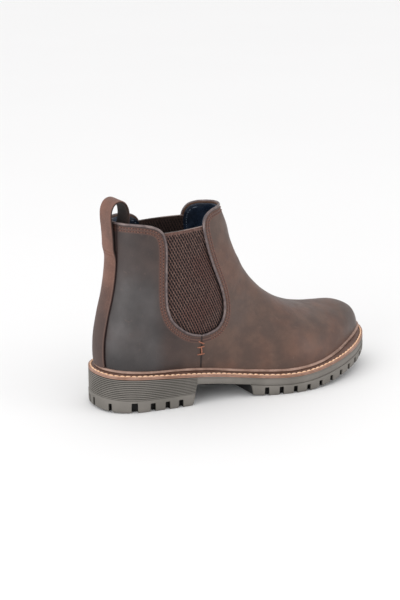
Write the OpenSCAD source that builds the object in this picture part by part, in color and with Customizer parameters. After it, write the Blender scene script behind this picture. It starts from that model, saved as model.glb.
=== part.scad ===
// Pull-on chelsea boot with elastic side gussets, a back pull loop and a lugged welted sole.
// Millimetres. Heel at -X, toe at +X, lateral side at -Y, standing on Z = 0.

/* [Upper] */
// Thickness of the outer leather
leather_t = 2.0; // [1.4:0.1:2.6]
// Thickness of the elastic, the heel counter and the toe puff, in the layer under the leather
core_t = 1.2; // [0.8:0.1:1.6]
// Thickness of the lining under that layer
lining_t = 1.0; // [0.8:0.1:1.6]
// Radius of the folded edge along the collar and the gussets
fold_r = 1.4; // [1:0.1:1.8]
// Margin of the elastic under the leather
gusset_margin = 5; // [3:0.5:7]

/* [Back strap] */
// Width of the strap and pull loop
strap_w = 22; // [16:1:28]
// Thickness of the strap
strap_t = 2.2; // [1.6:0.1:3]

/* [Sole] */
// Thickness of the welt
welt_t = 4.0; // [3:0.1:5]
// Height of the rand that stands on the welt against the upper
rand_h = 2.6; // [1.5:0.1:4]
// Thickness of the rand
rand_t = 1.8; // [1.2:0.1:2.4]
// Thickness of the midsole
midsole_t = 6.8; // [5:0.1:9]
// Height of the heel tread
heel_tread_h = 11.3; // [8:0.1:14]
// Pitch of the ribs around the heel block
rib_pitch = 1.9; // [1.6:0.1:3]
// Depth of the grooves between the ribs
rib_d = 0.7; // [0.4:0.1:1.2]
// Width of the notches around the tread
notch_w = 4.2; // [2.5:0.1:5]
// Height of the notches around the tread
notch_h = 6.4; // [4:0.1:7]
// Depth of the notches into the tread
notch_d = 5.5; // [4:0.5:9]
// Distance between notches around the tread
notch_pitch = 14.3; // [12:0.1:18]

/* [Inside] */
// Thickness of the insole board
board_t = 2.4; // [1.5:0.1:4]
// Thickness of the footbed
footbed_t = 4; // [2:0.5:6]
// Width of the steel shank
shank_w = 14; // [10:1:20]

/* [Hidden] */

y_shift = 4.8;
slit = 0.4;

// Sole outline seen from above, anticlockwise from the back of the heel
SOLE_OUTLINE = [[-150, 1], [-144.3, -22.5], [-126.2, -35.8], [-100, -41], [-68, -44.6], [-40, -45], [-14, -49.2],
    [10, -57.4], [35, -63], [60.5, -62.8], [88.5, -56], [115.4, -42], [136.6, -23], [147.6, -4.6], [149.4, 10],
    [146, 25.5], [134, 40], [110, 49.5], [80, 53.5], [50, 51.5], [20, 45.5], [-10, 39], [-40, 37.5],
    [-68, 39], [-100, 40], [-126, 36], [-143, 22.5]];
// Underside of the welt seen from the side
WELT_BASE = [[-160, 33.6], [-150, 33.2], [-120, 31.5], [-95, 29.6], [-68, 27.2], [-45, 24], [-20, 20], [5, 17.2],
    [30, 16], [55, 17.2], [87, 21.5], [119, 26.1], [150, 30.7], [160, 32.2]];
// Sections of the foot form: back point x, z, front point x, z, lateral and medial half widths, middle y,
// place of the widest point, and the roundness of the back and front halves
FORM = [
    [-130, 192, -22, 190, 31.5, 26.5, 0, 0.42, 2.2, 2.0],
    [-130, 170, -14.6, 170, 32.5, 27.5, 0, 0.42, 2.2, 2.0],
    [-130, 148, -9.8, 157, 34, 30, 0, 0.43, 2.2, 2.0],
    [-131.3, 126, -7.2, 147.5, 35, 32.5, 0, 0.44, 2.2, 2.0],
    [-134.7, 105, -4.9, 140.5, 36.5, 34.5, 0, 0.46, 2.2, 2.0],
    [-139.7, 85, -2.8, 135, 38, 36, 0, 0.48, 2.2, 2.0],
    [-143.6, 62, -0.6, 130, 39.5, 37, 0, 0.49, 2.25, 2.0],
    [-142.8, 38, 2.3, 125, 40, 37.5, 0, 0.5, 2.3, 2.0],
    [-135, 18, 5.4, 119, 39.5, 37.5, 0, 0.48, 2.4, 2.0],
    [-100, 10, 9.6, 112, 37, 36.5, 0, 0.42, 2.5, 2.0],
    [-55, 6, 17.2, 101.5, 38, 32.8, 0.5, 0.38, 2.8, 2.05],
    [-8, 4, 30, 89.2, 47.1, 33.8, 1.5, 0.32, 3, 2.1],
    [30, 4, 46, 78.6, 58, 39, 3, 0.28, 3, 2.1],
    [62, 5, 65, 70.5, 59, 42.5, 4, 0.26, 3, 2.1],
    [85, 8, 86, 65.4, 52.2, 44, 4.5, 0.26, 3, 2.15],
    [104, 12, 104, 63.6, 41.5, 41, 4.8, 0.26, 3, 2.2],
    [121.3, 15, 121.3, 62, 29.6, 35, 5, 0.26, 3, 2.25],
    [134.8, 18, 134.3, 56.4, 19, 27.5, 5.5, 0.26, 3, 2.3],
    [142.6, 20, 142.1, 48.3, 11.3, 17.5, 6.5, 0.26, 3, 2.3],
    [146.1, 21, 145.8, 39.6, 6.7, 9.5, 7.5, 0.26, 3, 2.3],
    [147.6, 22, 147.4, 30, 2.4, 2.5, 8.5, 0.26, 3, 2.3]];
// Edge of the quarter seen from the side: collar, corner and back edge of the gusset
QUARTER_EDGE = [[-118, 173.2], [-108, 172], [-99.5, 169.6], [-93.2, 164.8], [-90.3, 157], [-89.6, 148],
    [-90, 135], [-91, 118], [-91.6, 104], [-90.8, 93], [-87, 83.2], [-79, 74.8], [-68.5, 68], [-55.5, 64]];
collar_back = [-130, 173.6];
// Edge of the vamp seen from the side: front edge of the gusset, corner and front of the collar
VAMP_EDGE = [[-55.5, 64], [-46, 64.8], [-36.8, 68.3], [-30.2, 76.2], [-28, 86], [-29.8, 98], [-34.3, 112],
    [-40.5, 130], [-45.8, 148], [-48.2, 162], [-46.8, 170], [-42.5, 175.3], [-35, 178]];
collar_front = [-17.5, 178.8];
seam_x = -55.5;
// Crease of the instep, where the front of the shaft bends, and the end of the slit at the gusset
crease = [7.4, 117.8];
crease_end = [-28, 86];
// Middle line of the strap where it stands free of the back, from the outside over to the inside
LOOP_LINE = [[-132.6, 146], [-132.4, 156], [-132.8, 166], [-133.4, 175.5], [-133, 184], [-130, 190.2],
    [-124.8, 192.6], [-119.6, 190.8], [-116.4, 185.6], [-115.4, 178.5], [-116.4, 171], [-118.6, 164],
    [-120.9, 157],
    [-123.2, 149], [-123.2, 138]];
loop_root = [-132.9, 148.6];
loop_root_gap = 0.8;
loop_inner_z = 176;
loop_inner_gap = 6.5;
loop_middle_x = -125;
// Heel breast: foot and top of its slope
BREAST = [[-68.8, 0], [-64, 20]];
// Back end of the forepart tread
tread_rear = [[-6.8, 1.6], [-9.6, 12.2]];
tread_rear_flat = 5;
// Sides of the heel tread, seen from the side: the ground, which lifts at the back, and its top
heel_lift = [[-160, 2.2], [-150, 1.6], [-136, 0.4], [-122, 0]];
heel_parting = [[-112, heel_tread_h], [-132, heel_tread_h + 0.9], [-150, heel_tread_h + 2.6],
    [-160, heel_tread_h + 3.8]];
// Notches around the heel: distance from its back, width against the forepart's, and added height
HEEL_NOTCHES = [[3.1, 0.85, 3.7], [25.6, 0.8, 2.5], [48.1, 1.4, 3.3], [65.8, 1.2, 1.7], [81, 1.1, 1.4],
    [93.5, 1.1, 1.2]];
// Added height of the forepart's notches along its length
NOTCH_RISE = [[0, 2.2], [20, 1.5], [42, 0.3], [60, 0]];
// The medial gusset and its edges sit further forward
medial_x = 5.5;
// Stiffeners seen from the side
COUNTER = [[-200, 20], [-82, 20], [-84, 48], [-92, 66], [-106, 80], [-125, 88], [-200, 90]];
PUFF = [[200, 10], [96, 10], [98, 40], [104, 60], [112, 80], [200, 80]];
// Hand stitches over the side seam, as lines in the side view
TACKS = [[[-59, 59], [-52.5, 55.5]], [[-60, 53], [-52, 53]], [[-55.8, 53], [-55.2, 46]], [[-60, 46], [-52, 46]]];

// ---- Curves ----
function spline4(a, b, c, d, t) =
    0.5 * (2 * b + (c - a) * t + (2 * a - 5 * b + 4 * c - d) * t * t + (d - a + 3 * b - 3 * c) * t * t * t);
function at(p, i) = p[max(0, min(len(p) - 1, i))];
function curve(p, n) = [for (i = [0:len(p) - 2], k = [0:n - 1])
    spline4(at(p, i - 1), p[i], p[i + 1], at(p, i + 2), k / n), p[len(p) - 1]];
function loop_at(p, i) = p[(i + len(p)) % len(p)];
function ring_curve(p, n) = [for (i = [0:len(p) - 1], k = [0:n - 1])
    spline4(loop_at(p, i - 1), p[i], loop_at(p, i + 1), loop_at(p, i + 2), k / n)];
function reversed(p) = [for (i = [len(p) - 1:-1:0]) p[i]];
function unit(v) = v / max(norm(v), 1e-9);
function shifted(p, d) = [for (q = p) q + d];
// Closed anticlockwise outline moved inwards by d
function inset(p, d) = [for (i = [0:len(p) - 1])
    let (t = unit(loop_at(p, i + 1) - loop_at(p, i - 1))) p[i] + d * [-t[1], t[0]]];
// Open line moved to its left by d
function beside(p, d) = [for (i = [0:len(p) - 1])
    let (t = unit(at(p, i + 1) - at(p, i - 1))) p[i] + d * [-t[1], t[0]]];

sole_line = ring_curve(SOLE_OUTLINE, 3);
welt_line = curve(WELT_BASE, 2);
function toe_spring(x) = x < 45 ? 0 : 16.6 * pow((x - 45) / 105, 1.3);
ground_line = concat([[-160, 0]], [for (x = [45:7:160]) [x, toe_spring(x)]]);

// ---- Foot form ----
function section(u) =
    let (i = min(floor(u), len(FORM) - 2))
    spline4(at(FORM, i - 1), FORM[i], FORM[i + 1], at(FORM, i + 2), u - i);
function on_section(s, a) =
    let (
        c = cos(a),
        e = c > 0 ? s[8] : s[9],
        k = pow(abs(c), 2 / e),
        q = pow(abs(sin(a)), 2 / e),
        along = c > 0 ? s[7] * (1 - k) : s[7] + (1 - s[7]) * k,
        w = a < 0 ? -s[4] : s[5])
    [s[0] + (s[2] - s[0]) * along, s[6] + w * q, s[1] + (s[3] - s[1]) * along];
function wrapped(a) = a > 180 ? a - 360 : a < -180 ? a + 360 : a;
function form_point(u, a) = on_section(section(u), wrapped(a));
function form_normal(u, a) =
    let (
        du = form_point(min(u + 0.02, len(FORM) - 1), a) - form_point(max(u - 0.02, 0), a),
        da = form_point(u, a + 1.5) - form_point(u, a - 1.5))
    unit(cross(da, du));

ring_us = [for (u = [0:1:2]) u, for (u = [2.5:0.5:19.5]) u, 20];
ring_as = [for (a = [-170:10:180]) a];
form_points = [for (u = ring_us) let (s = section(u)) [for (a = ring_as) on_section(s, a)]];
form_normals = [for (u = ring_us) [for (a = ring_as) form_normal(u, a)]];

module form(out) {
    n = len(ring_as);
    m = len(ring_us);
    points = [for (i = [0:m - 1], j = [0:n - 1]) form_points[i][j] + out * form_normals[i][j]];
    first = [for (j = [0:n - 1]) points[j]];
    last = [for (j = [0:n - 1]) points[(m - 1) * n + j]];
    one = [for (j = [0:n - 1]) 1 / n];
    polyhedron(
        points = concat(points, [one * first, one * last]),
        faces = concat(
            [for (i = [0:m - 2], j = [0:n - 1]) let (k = (j + 1) % n) [i * n + j, (i + 1) * n + k, i * n + k]],
            [for (i = [0:m - 2], j = [0:n - 1]) let (k = (j + 1) % n)
                [i * n + j, (i + 1) * n + j, (i + 1) * n + k]],
            [for (j = [0:n - 1]) [m * n, j, (j + 1) % n]],
            [for (j = [0:n - 1]) [m * n + 1, (m - 1) * n + (j + 1) % n, (m - 1) * n + j]]));
}

// Place on the form under a point of the side view: section number and angle
function side_of(u, p) =
    let (s = section(u), d = [s[2] - s[0], s[3] - s[1]]) d[0] * (p[1] - s[1]) - d[1] * (p[0] - s[0]);
function find_u(p, lo, hi, n) =
    n == 0 ? (lo + hi) / 2
    : let (mid = (lo + hi) / 2) side_of(mid, p) < 0 ? find_u(p, mid, hi, n - 1) : find_u(p, lo, mid, n - 1);
function angle_in(s, p) =
    let (
        d = [s[2] - s[0], s[3] - s[1]],
        along = max(0, min(1, ((p - [s[0], s[1]]) * d) / (d * d))))
    along < s[7] ? acos(min(1, pow(1 - along / s[7], s[8] / 2)))
    : 180 - acos(min(1, pow((along - s[7]) / (1 - s[7]), s[9] / 2)));
function on_form(p, side, out) =
    let (u = find_u(p, 0, len(FORM) - 1, 22), a = side * angle_in(section(u), p), n = form_normal(u, a))
    [form_point(u, a) + out * n, n];

// ---- Building blocks ----
// Keeps a cut piece of the form as one closed mesh
module one_piece() resize([0, 0, 0]) children();

module seen_from_side(outline) rotate([90, 0, 0]) linear_extrude(height = 240, center = true) polygon(outline);

module seen_from_above(outline) linear_extrude(height = 240) polygon(outline);

// Everything between two heights over the line of the welt's underside
module band(low, high)
    seen_from_side(concat(shifted(welt_line, [0, low]), reversed(shifted(welt_line, [0, high]))));

// Skin of the form between two distances from its surface, inside a side-view outline and a range of y
module skin(outer, inner, outline, y = [-100, 100], foot = welt_t)
    intersection() {
        difference() {
            form(outer);
            form(inner);
        }
        seen_from_side(outline);
        translate([-200, y[0], 0]) cube([400, y[1] - y[0], 240]);
        seen_from_side(concat(shifted(welt_line, [0, foot]), [[160, 240], [-160, 240]]));
    }

module tube(path, r, sides = 7) {
    n = len(path);
    rings = [for (i = [0:n - 1])
        let (t = unit(at(path, i + 1)[0] - at(path, i - 1)[0]), b = unit(cross(t, path[i][1])), c = cross(b, t))
        for (k = [0:sides - 1]) path[i][0] + r * (cos(k * 360 / sides) * b + sin(k * 360 / sides) * c)];
    polyhedron(
        points = rings,
        faces = concat(
            [for (i = [0:n - 2], k = [0:sides - 1]) let (l = (k + 1) % sides)
                [i * sides + k, i * sides + l, (i + 1) * sides + l]],
            [for (i = [0:n - 2], k = [0:sides - 1]) let (l = (k + 1) % sides)
                [i * sides + k, (i + 1) * sides + l, (i + 1) * sides + k]],
            [[for (k = [sides - 1:-1:0]) k]],
            [[for (k = [0:sides - 1]) (n - 1) * sides + k]]));
}

// Thin strand laid on the form along a side-view line
module strand(line, side, r) {
    n = 4;
    tube([for (k = [0:n]) on_form(line[0] + (line[1] - line[0]) * k / n, side, r + 0.05)], r, 6);
}

// ---- Outlines of the upper ----
// Side-view line as it lies on a side of the boot; the ends at the back and the front stay in place
function on_side(p, side) = side < 0 ? p : [for (q = p)
    q + [medial_x * max(0, min(1, (q[0] + 130) / 12)) * max(0, min(1, (-17.5 - q[0]) / 17.5)), 0]];
function seam_at(side) = seam_x + (side < 0 ? 0 : medial_x);
quarter_edge = concat([[-200, collar_back[1]], collar_back], curve(QUARTER_EDGE, 2));
vamp_edge = concat(curve(VAMP_EDGE, 2), [collar_front, [200, collar_front[1]]]);
// The leather ends inside the folded edge
leather_drop = 0.9;
quarter_outline = concat(beside(quarter_edge, -leather_drop), [[seam_x, 0], [-200, 0]]);
vamp_outline = concat(beside(vamp_edge, -leather_drop), [[200, 0], [seam_x, 0]]);

// Linings end a little short of the folded edge
lining_drop = 1.2;
quarter_lining_outline = concat(beside(quarter_edge, -lining_drop), [[seam_x, 0], [-200, 0]]);
vamp_lining_outline = concat(beside(vamp_edge, -lining_drop), [[200, 0], [seam_x, 0]]);

function gusset_outline(margin) = concat(
    [for (p = beside(QUARTER_EDGE, -margin)) if (p[1] < 162 && p[1] > 66) p],
    [[seam_x, 64 - margin]],
    [for (p = beside(VAMP_EDGE, -margin)) if (p[1] < 163 && p[0] > -47) p],
    [[-48 + margin, 160.4 + margin], [-90.5 - margin, 159 + margin]]);

// The crease and the slit divide the vamp into a lower part and a part that bends with the shaft
slit_dir = unit(crease - crease_end);
slit_up = slit * [-slit_dir[1], slit_dir[0]];
below_slit = [[-200, crease_end[1]], crease_end, crease + 200 * slit_dir, [300, -10], [-200, -10]];
above_slit = [[-200, crease_end[1] + slit], crease_end + slit_up, crease + slit_up + 200 * slit_dir,
    [200, 400], [-200, 400]];

// Folded edges: round, half sunk in the leather. Points crowd where the form turns away from the side view
fold_out = 0.8 - fold_r;
QUARTER_FOLD = concat(
    [for (t = [0:0.2:0.8]) collar_back + (QUARTER_EDGE[0] - collar_back) * t * t],
    QUARTER_EDGE,
    [[seam_x + 4, 63.4]]);
VAMP_FOLD = concat(
    [[seam_x - 4, 64.6]],
    VAMP_EDGE,
    [for (t = [0.85:-0.17:0]) collar_front + ([-35, 178] - collar_front) * t * t]);
quarter_fold_line = concat([for (i = [0:4]) QUARTER_FOLD[i]],
    curve([for (i = [5:len(QUARTER_FOLD) - 1]) QUARTER_FOLD[i]], 2));
vamp_fold_line = concat(curve([for (i = [0:len(VAMP_EDGE)]) VAMP_FOLD[i]], 2),
    [for (i = [len(VAMP_EDGE) + 1:len(VAMP_FOLD) - 1]) VAMP_FOLD[i]]);

module quarter_fold(side) intersection() {
    tube([for (p = on_side(quarter_fold_line, side)) on_form(p, side, fold_out)], fold_r);
    translate([-200, side < 0 ? -100 : 0, 0]) cube([200 + seam_at(side), 100, 240]);
}

module vamp_fold(side) intersection() {
    tube([for (p = on_side(vamp_fold_line, side)) on_form(p, side, fold_out)], fold_r);
    translate([seam_at(side), side < 0 ? -100 : 0, 0]) cube([200, 100, 240]);
}

module folds() {
    for (side = [-1, 1]) {
        quarter_fold(side);
        vamp_fold(side);
    }
}

// ---- Upper ----
core_in = -leather_t - core_t;
lining_in = core_in - lining_t;
function half(side) = side < 0 ? [-100, 0] : [0, 100];

module both_sides() union() {
    for ($side = [-1, 1]) children();
}

module leather(outline, side) difference() {
    skin(0, -leather_t, on_side(outline, side), half(side));
    folds();
}

module stiffener(outline) skin(-leather_t, core_in, outline);

module lining(outline, side) difference() {
    skin(-leather_t, lining_in, on_side(outline, side), half(side));
    skin(0, core_in - 0.3, on_side(gusset_outline(gusset_margin + 0.5), side), half(side));
    skin(0, core_in, COUNTER, foot = 0);
    skin(0, core_in, PUFF, foot = 0);
    folds();
}

module vamp() color("#5b4239") one_piece() intersection() {
    both_sides() leather(vamp_outline, $side);
    seen_from_side(below_slit);
}

module vamp_shaft() color("#5b4239") one_piece() intersection() {
    both_sides() leather(vamp_outline, $side);
    seen_from_side(above_slit);
}

module quarter(side) color("#53403a") one_piece() leather(quarter_outline, side);

module gusset(side) color("#4a3029") one_piece()
    skin(-leather_t - slit, core_in, on_side(gusset_outline(gusset_margin), side), half(side));

module fold_quarter(side) color("#6d5c5a") one_piece() quarter_fold(side);

module fold_vamp(side) color("#6d5c5a") one_piece() intersection() {
    vamp_fold(side);
    seen_from_side(below_slit);
}

module fold_front() color("#6d5c5a") one_piece() intersection() {
    union() {
        vamp_fold(-1);
        vamp_fold(1);
    }
    seen_from_side(above_slit);
}

module vamp_lining() color("#28334f") one_piece() intersection() {
    both_sides() lining(vamp_lining_outline, $side);
    seen_from_side(below_slit);
}

module front_facing() color("#28334f") one_piece() intersection() {
    both_sides() lining(vamp_lining_outline, $side);
    seen_from_side(above_slit);
}

module quarter_lining(side) color("#28334f") one_piece() lining(quarter_lining_outline, side);

module heel_counter() color("#b59a78") one_piece() stiffener(COUNTER);

module toe_puff() color("#b59a78") one_piece() stiffener(PUFF);

module seam_tack(side) color("#a2603c") one_piece() union() {
    for (line = TACKS) strand(on_side(line, side), side, 0.6);
}

// ---- Back strap and pull loop ----
loop_line = curve(LOOP_LINE, 2);
loop_profile = concat(beside(loop_line, strap_t / 2), reversed(beside(loop_line, -strap_t / 2)));

module loop_band() rotate([90, 0, 0]) linear_extrude(height = strap_w, center = true) polygon(loop_profile);

module back_strap() color("#5f473d") one_piece()
    skin(strap_t, 0, [[-200, 0], [-110, 0], [-110, loop_root[1] - loop_root_gap / 2],
        [-200, loop_root[1] - loop_root_gap / 2]], [-strap_w / 2, strap_w / 2], welt_t + rand_h);

module pull_loop() color("#5f473d") intersection() {
    loop_band();
    seen_from_side([[-200, loop_root[1] + loop_root_gap / 2], [loop_middle_x, loop_root[1] + loop_root_gap / 2],
        [loop_middle_x, loop_inner_z], [0, loop_inner_z], [0, 240], [-200, 240]]);
}

module strap_inner_end() color("#5f473d") one_piece() intersection() {
    loop_band();
    seen_from_side([[loop_middle_x, 100], [0, 100], [0, loop_inner_z - loop_inner_gap],
        [loop_middle_x, loop_inner_z - loop_inner_gap]]);
    form(lining_in - 0.1);
}

// ---- Bottom ----
// Distance along the sole outline at each of its points, and the place and direction at a distance
sole_run = [for (i = 0, s = 0; i <= len(sole_line);
    s = s + norm(loop_at(sole_line, i + 1) - loop_at(sole_line, i)), i = i + 1) s];
sole_length_round = sole_run[len(sole_line)];
function index_at(s) = [for (i = [0:len(sole_line) - 1]) if (sole_run[i] <= s && s < sole_run[i + 1]) i][0];
function place_at(s) =
    let (i = index_at(s), a = sole_line[i], b = loop_at(sole_line, i + 1), t = unit(b - a))
    [a + t * (s - sole_run[i]), t];

module rand() color("#a07a5c") one_piece()
    intersection() {
        difference() {
            form(rand_t);
            form(0);
        }
        band(welt_t, welt_t + rand_h);
    }

// Stitch groove of the welt, from its edge, and the stitches in it
stitch_in = [2.1, 3.9];
stitches = 130;
stitch_pitch = sole_length_round / stitches;
stitch_len = 4.2;
// Width of the welt, most of it under the upper
welt_w = 14;

module ring_from_above(outer, inner) difference() {
    seen_from_above(outer);
    translate([0, 0, -1]) linear_extrude(height = 250) polygon(inner);
}

module welt() color("#a5785a") difference() {
    intersection() {
        ring_from_above(sole_line, inset(SOLE_OUTLINE, welt_w));
        band(0, welt_t);
    }
    intersection() {
        ring_from_above(inset(sole_line, stitch_in[0]), inset(sole_line, stitch_in[1]));
        band(welt_t - 0.9, welt_t + 2);
    }
}

// Point in the middle of the stitch groove at a distance along the outline
function in_groove(s) =
    let (a = place_at(s)) a[0] + [-a[1][1], a[1][0]] * (stitch_in[0] + stitch_in[1]) / 2;

module welt_thread() color("#e0b088") intersection() {
    linear_extrude(height = 60) polygon(
        points = [for (k = [0:stitches - 1]) let (
            a = in_groove(k * stitch_pitch + 0.2),
            b = in_groove(k * stitch_pitch + 0.2 + stitch_len),
            side = 0.5 * unit([a[1] - b[1], b[0] - a[0]]))
            for (q = [a - side, b - side, b + side, a + side]) q],
        paths = [for (k = [0:stitches - 1]) [for (q = [0:3]) 4 * k + q]]);
    band(welt_t - 0.85, welt_t - 0.05);
}

module insole_board() color("#b59a78") one_piece() intersection() {
    form(lining_in - 0.1);
    band(welt_t, welt_t + board_t);
}

module footbed() color("#3b3230") one_piece() intersection() {
    form(lining_in - 0.2);
    band(welt_t + board_t, welt_t + board_t + footbed_t);
}

module shank_shape(gap, low) intersection() {
    translate([-96 - gap, -shank_w / 2 - gap - 1.5, 0]) cube([100 + 2 * gap, shank_w + 2 * gap, 60]);
    band(low, welt_t);
}

module shank() color("#9a9da1") shank_shape(0, welt_t - 1.4);

module cork_filler() color("#a9825a") difference() {
    intersection() {
        seen_from_above(inset(SOLE_OUTLINE, welt_w + 0.2));
        band(0, welt_t);
    }
    intersection() {
        translate([-96.3, -shank_w / 2 - 1.8, 0]) cube([100.6, shank_w + 0.6, 60]);
        band(welt_t - 1.5, welt_t + 5);
    }
}

midsole_line = shifted(welt_line, [0, -midsole_t]);
function beyond_x(line, x) = concat([[x, lookup(x, line)]], [for (p = line) if (p[0] > x) p]);

module midsole() color("#77716c") intersection() {
    seen_from_above(sole_line);
    seen_from_side(concat(beyond_x(midsole_line, BREAST[1][0]), reversed(beyond_x(welt_line, BREAST[1][0]))));
}

function breast_x(z) = BREAST[0][0] + (BREAST[1][0] - BREAST[0][0]) * min(1, z / BREAST[1][1]);

module heel_block() color("#77716c") intersection() {
    union() {
        seen_from_above(inset(sole_line, rib_d));
        for (z = [heel_tread_h - 0.4:rib_pitch:40])
            translate([0, 0, z]) linear_extrude(height = rib_pitch * 0.62) polygon(sole_line);
    }
    seen_from_side(concat(
        reversed(heel_parting), [[breast_x(heel_tread_h), heel_tread_h], BREAST[1]],
        [[BREAST[1][0], lookup(BREAST[1][0], welt_line)]],
        reversed([for (p = welt_line) if (p[0] < BREAST[1][0]) p])));
}

// Notch cut into the edge of the tread at a distance along the outline
module notch(s, w, more) {
    p = place_at(s);
    translate([p[0][0], p[0][1], -1]) rotate([0, 0, atan2(p[1][1], p[1][0])])
        translate([-w / 2, -3, 0]) cube([w, 3 + notch_d, 1 + toe_spring(p[0][0]) + notch_h + more]);
}

module groove(x, y_low, y_high)
    translate([x, y_low, -1]) cube([4, y_high - y_low, 1 + toe_spring(x) + 2.6]);

// Distances along the outline where the tread begins and ends
function run_near(x, side) =
    [for (i = [0:len(sole_line) - 1])
        if (sign(sole_line[i][1] - 2) == side && abs(sole_line[i][0] - x) < 4.5) sole_run[i]][0];

module heel_tread() color("#77716c") difference() {
    intersection() {
        seen_from_above(sole_line);
        seen_from_side(concat(heel_lift, [BREAST[0], [breast_x(heel_tread_h), heel_tread_h]], heel_parting));
    }
    for (n = HEEL_NOTCHES) {
        notch(n[0], n[1] * notch_w, n[2]);
        notch(sole_length_round - n[0] - 3, n[1] * notch_w, n[2]);
    }
    groove(-84, -24, 24);
    groove(-104, -24, 24);
    groove(-124, -18, 18);
}

// Distance along the outline of the forepart's first notch
first_notch = run_near(8, -1) - 2.4;

module outsole_forepart() color("#77716c") difference() {
    intersection() {
        seen_from_above(sole_line);
        seen_from_side(concat(
            [tread_rear[0], [tread_rear_flat, 0]],
            [for (p = ground_line) if (p[0] > 0) p],
            reversed(beyond_x(midsole_line, tread_rear[1][0]))));
    }
    for (k = [0:23]) {
        s = first_notch + k * notch_pitch;
        notch(s, notch_w, lookup(place_at(s)[0][0], NOTCH_RISE));
    }
    for (x = [14, 38, 62, 86, 108]) groove(x, x > 80 ? -24 : -34, x > 80 ? 28 : 30);
}

translate([0, y_shift, 0]) {
    vamp();
    vamp_shaft();
    quarter(-1);  // quarter_lateral
    quarter(1);  // quarter_medial
    gusset(-1);  // gusset_lateral
    gusset(1);  // gusset_medial
    fold_quarter(-1);  // quarter_fold_lateral
    fold_quarter(1);  // quarter_fold_medial
    fold_vamp(-1);  // vamp_fold_lateral
    fold_vamp(1);  // vamp_fold_medial
    fold_front();  // collar_fold_front
    vamp_lining();
    front_facing();
    quarter_lining(-1);  // quarter_lining_lateral
    quarter_lining(1);  // quarter_lining_medial
    heel_counter();
    toe_puff();
    back_strap();
    strap_inner_end();
    pull_loop();
    rand();
    welt();
    welt_thread();
    insole_board();
    footbed();
    cork_filler();
    shank();
    midsole();
    outsole_forepart();
    heel_block();
    heel_tread();
    seam_tack(-1);  // seam_tack_lateral
    seam_tack(1);  // seam_tack_medial
}
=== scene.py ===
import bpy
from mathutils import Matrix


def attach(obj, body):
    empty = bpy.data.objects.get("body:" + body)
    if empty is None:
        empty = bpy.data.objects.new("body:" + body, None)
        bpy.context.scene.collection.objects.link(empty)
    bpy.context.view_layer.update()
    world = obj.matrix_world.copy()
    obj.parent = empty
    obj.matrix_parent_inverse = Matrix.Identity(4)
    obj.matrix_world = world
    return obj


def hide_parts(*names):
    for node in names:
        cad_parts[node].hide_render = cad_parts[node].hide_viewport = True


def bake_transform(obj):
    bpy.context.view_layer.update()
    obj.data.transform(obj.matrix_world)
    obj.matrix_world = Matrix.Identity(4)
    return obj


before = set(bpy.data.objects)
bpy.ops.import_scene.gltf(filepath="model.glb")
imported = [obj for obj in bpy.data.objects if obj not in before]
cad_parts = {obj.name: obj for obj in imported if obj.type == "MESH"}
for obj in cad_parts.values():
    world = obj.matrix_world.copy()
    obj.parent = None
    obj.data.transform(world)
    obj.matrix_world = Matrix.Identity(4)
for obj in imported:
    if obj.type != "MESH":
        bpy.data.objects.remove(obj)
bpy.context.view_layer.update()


import math

import bmesh
import bpy
import numpy as np
from mathutils import Vector
from mathutils.geometry import delaunay_2d_cdt

MM = 0.001
PI = math.pi
Y_SHIFT = 4.8

# ---- Mesh sizes, in millimetres ----
PANEL_STEP, LINING_STEP, CAP_STEP, EDGE_STEP = 2.1, 3.0, 5.0, 0.8
TOO_CLOSE = 0.35

# ---- Tables shared with the CAD source, in millimetres ----
LEATHER_T = 2.0
LINING_IN = -4.2
FOLD_R = 1.4
STRAP_W = 22.0
STRAP_T = 2.2
WELT_T = 4.0
RAND_H = 2.6
MIDSOLE_T = 6.8
HEEL_TREAD_H = 11.3
RIBS = 11
NOTCH_W = 4.2
NOTCH_H = 6.4
NOTCH_D = 5.5
NOTCH_PITCH = 14.3
BOARD_T = 2.4
FOOTBED_T = 4.0
SEAM_X = -55.5
SEAM_TOP = 64.0
TOE_LIFT, TOE_FROM, TOE_RUN, TOE_POWER = 16.6, 45, 105, 1.3
SIDES = ((-1, "lateral"), (1, "medial"))
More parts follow.
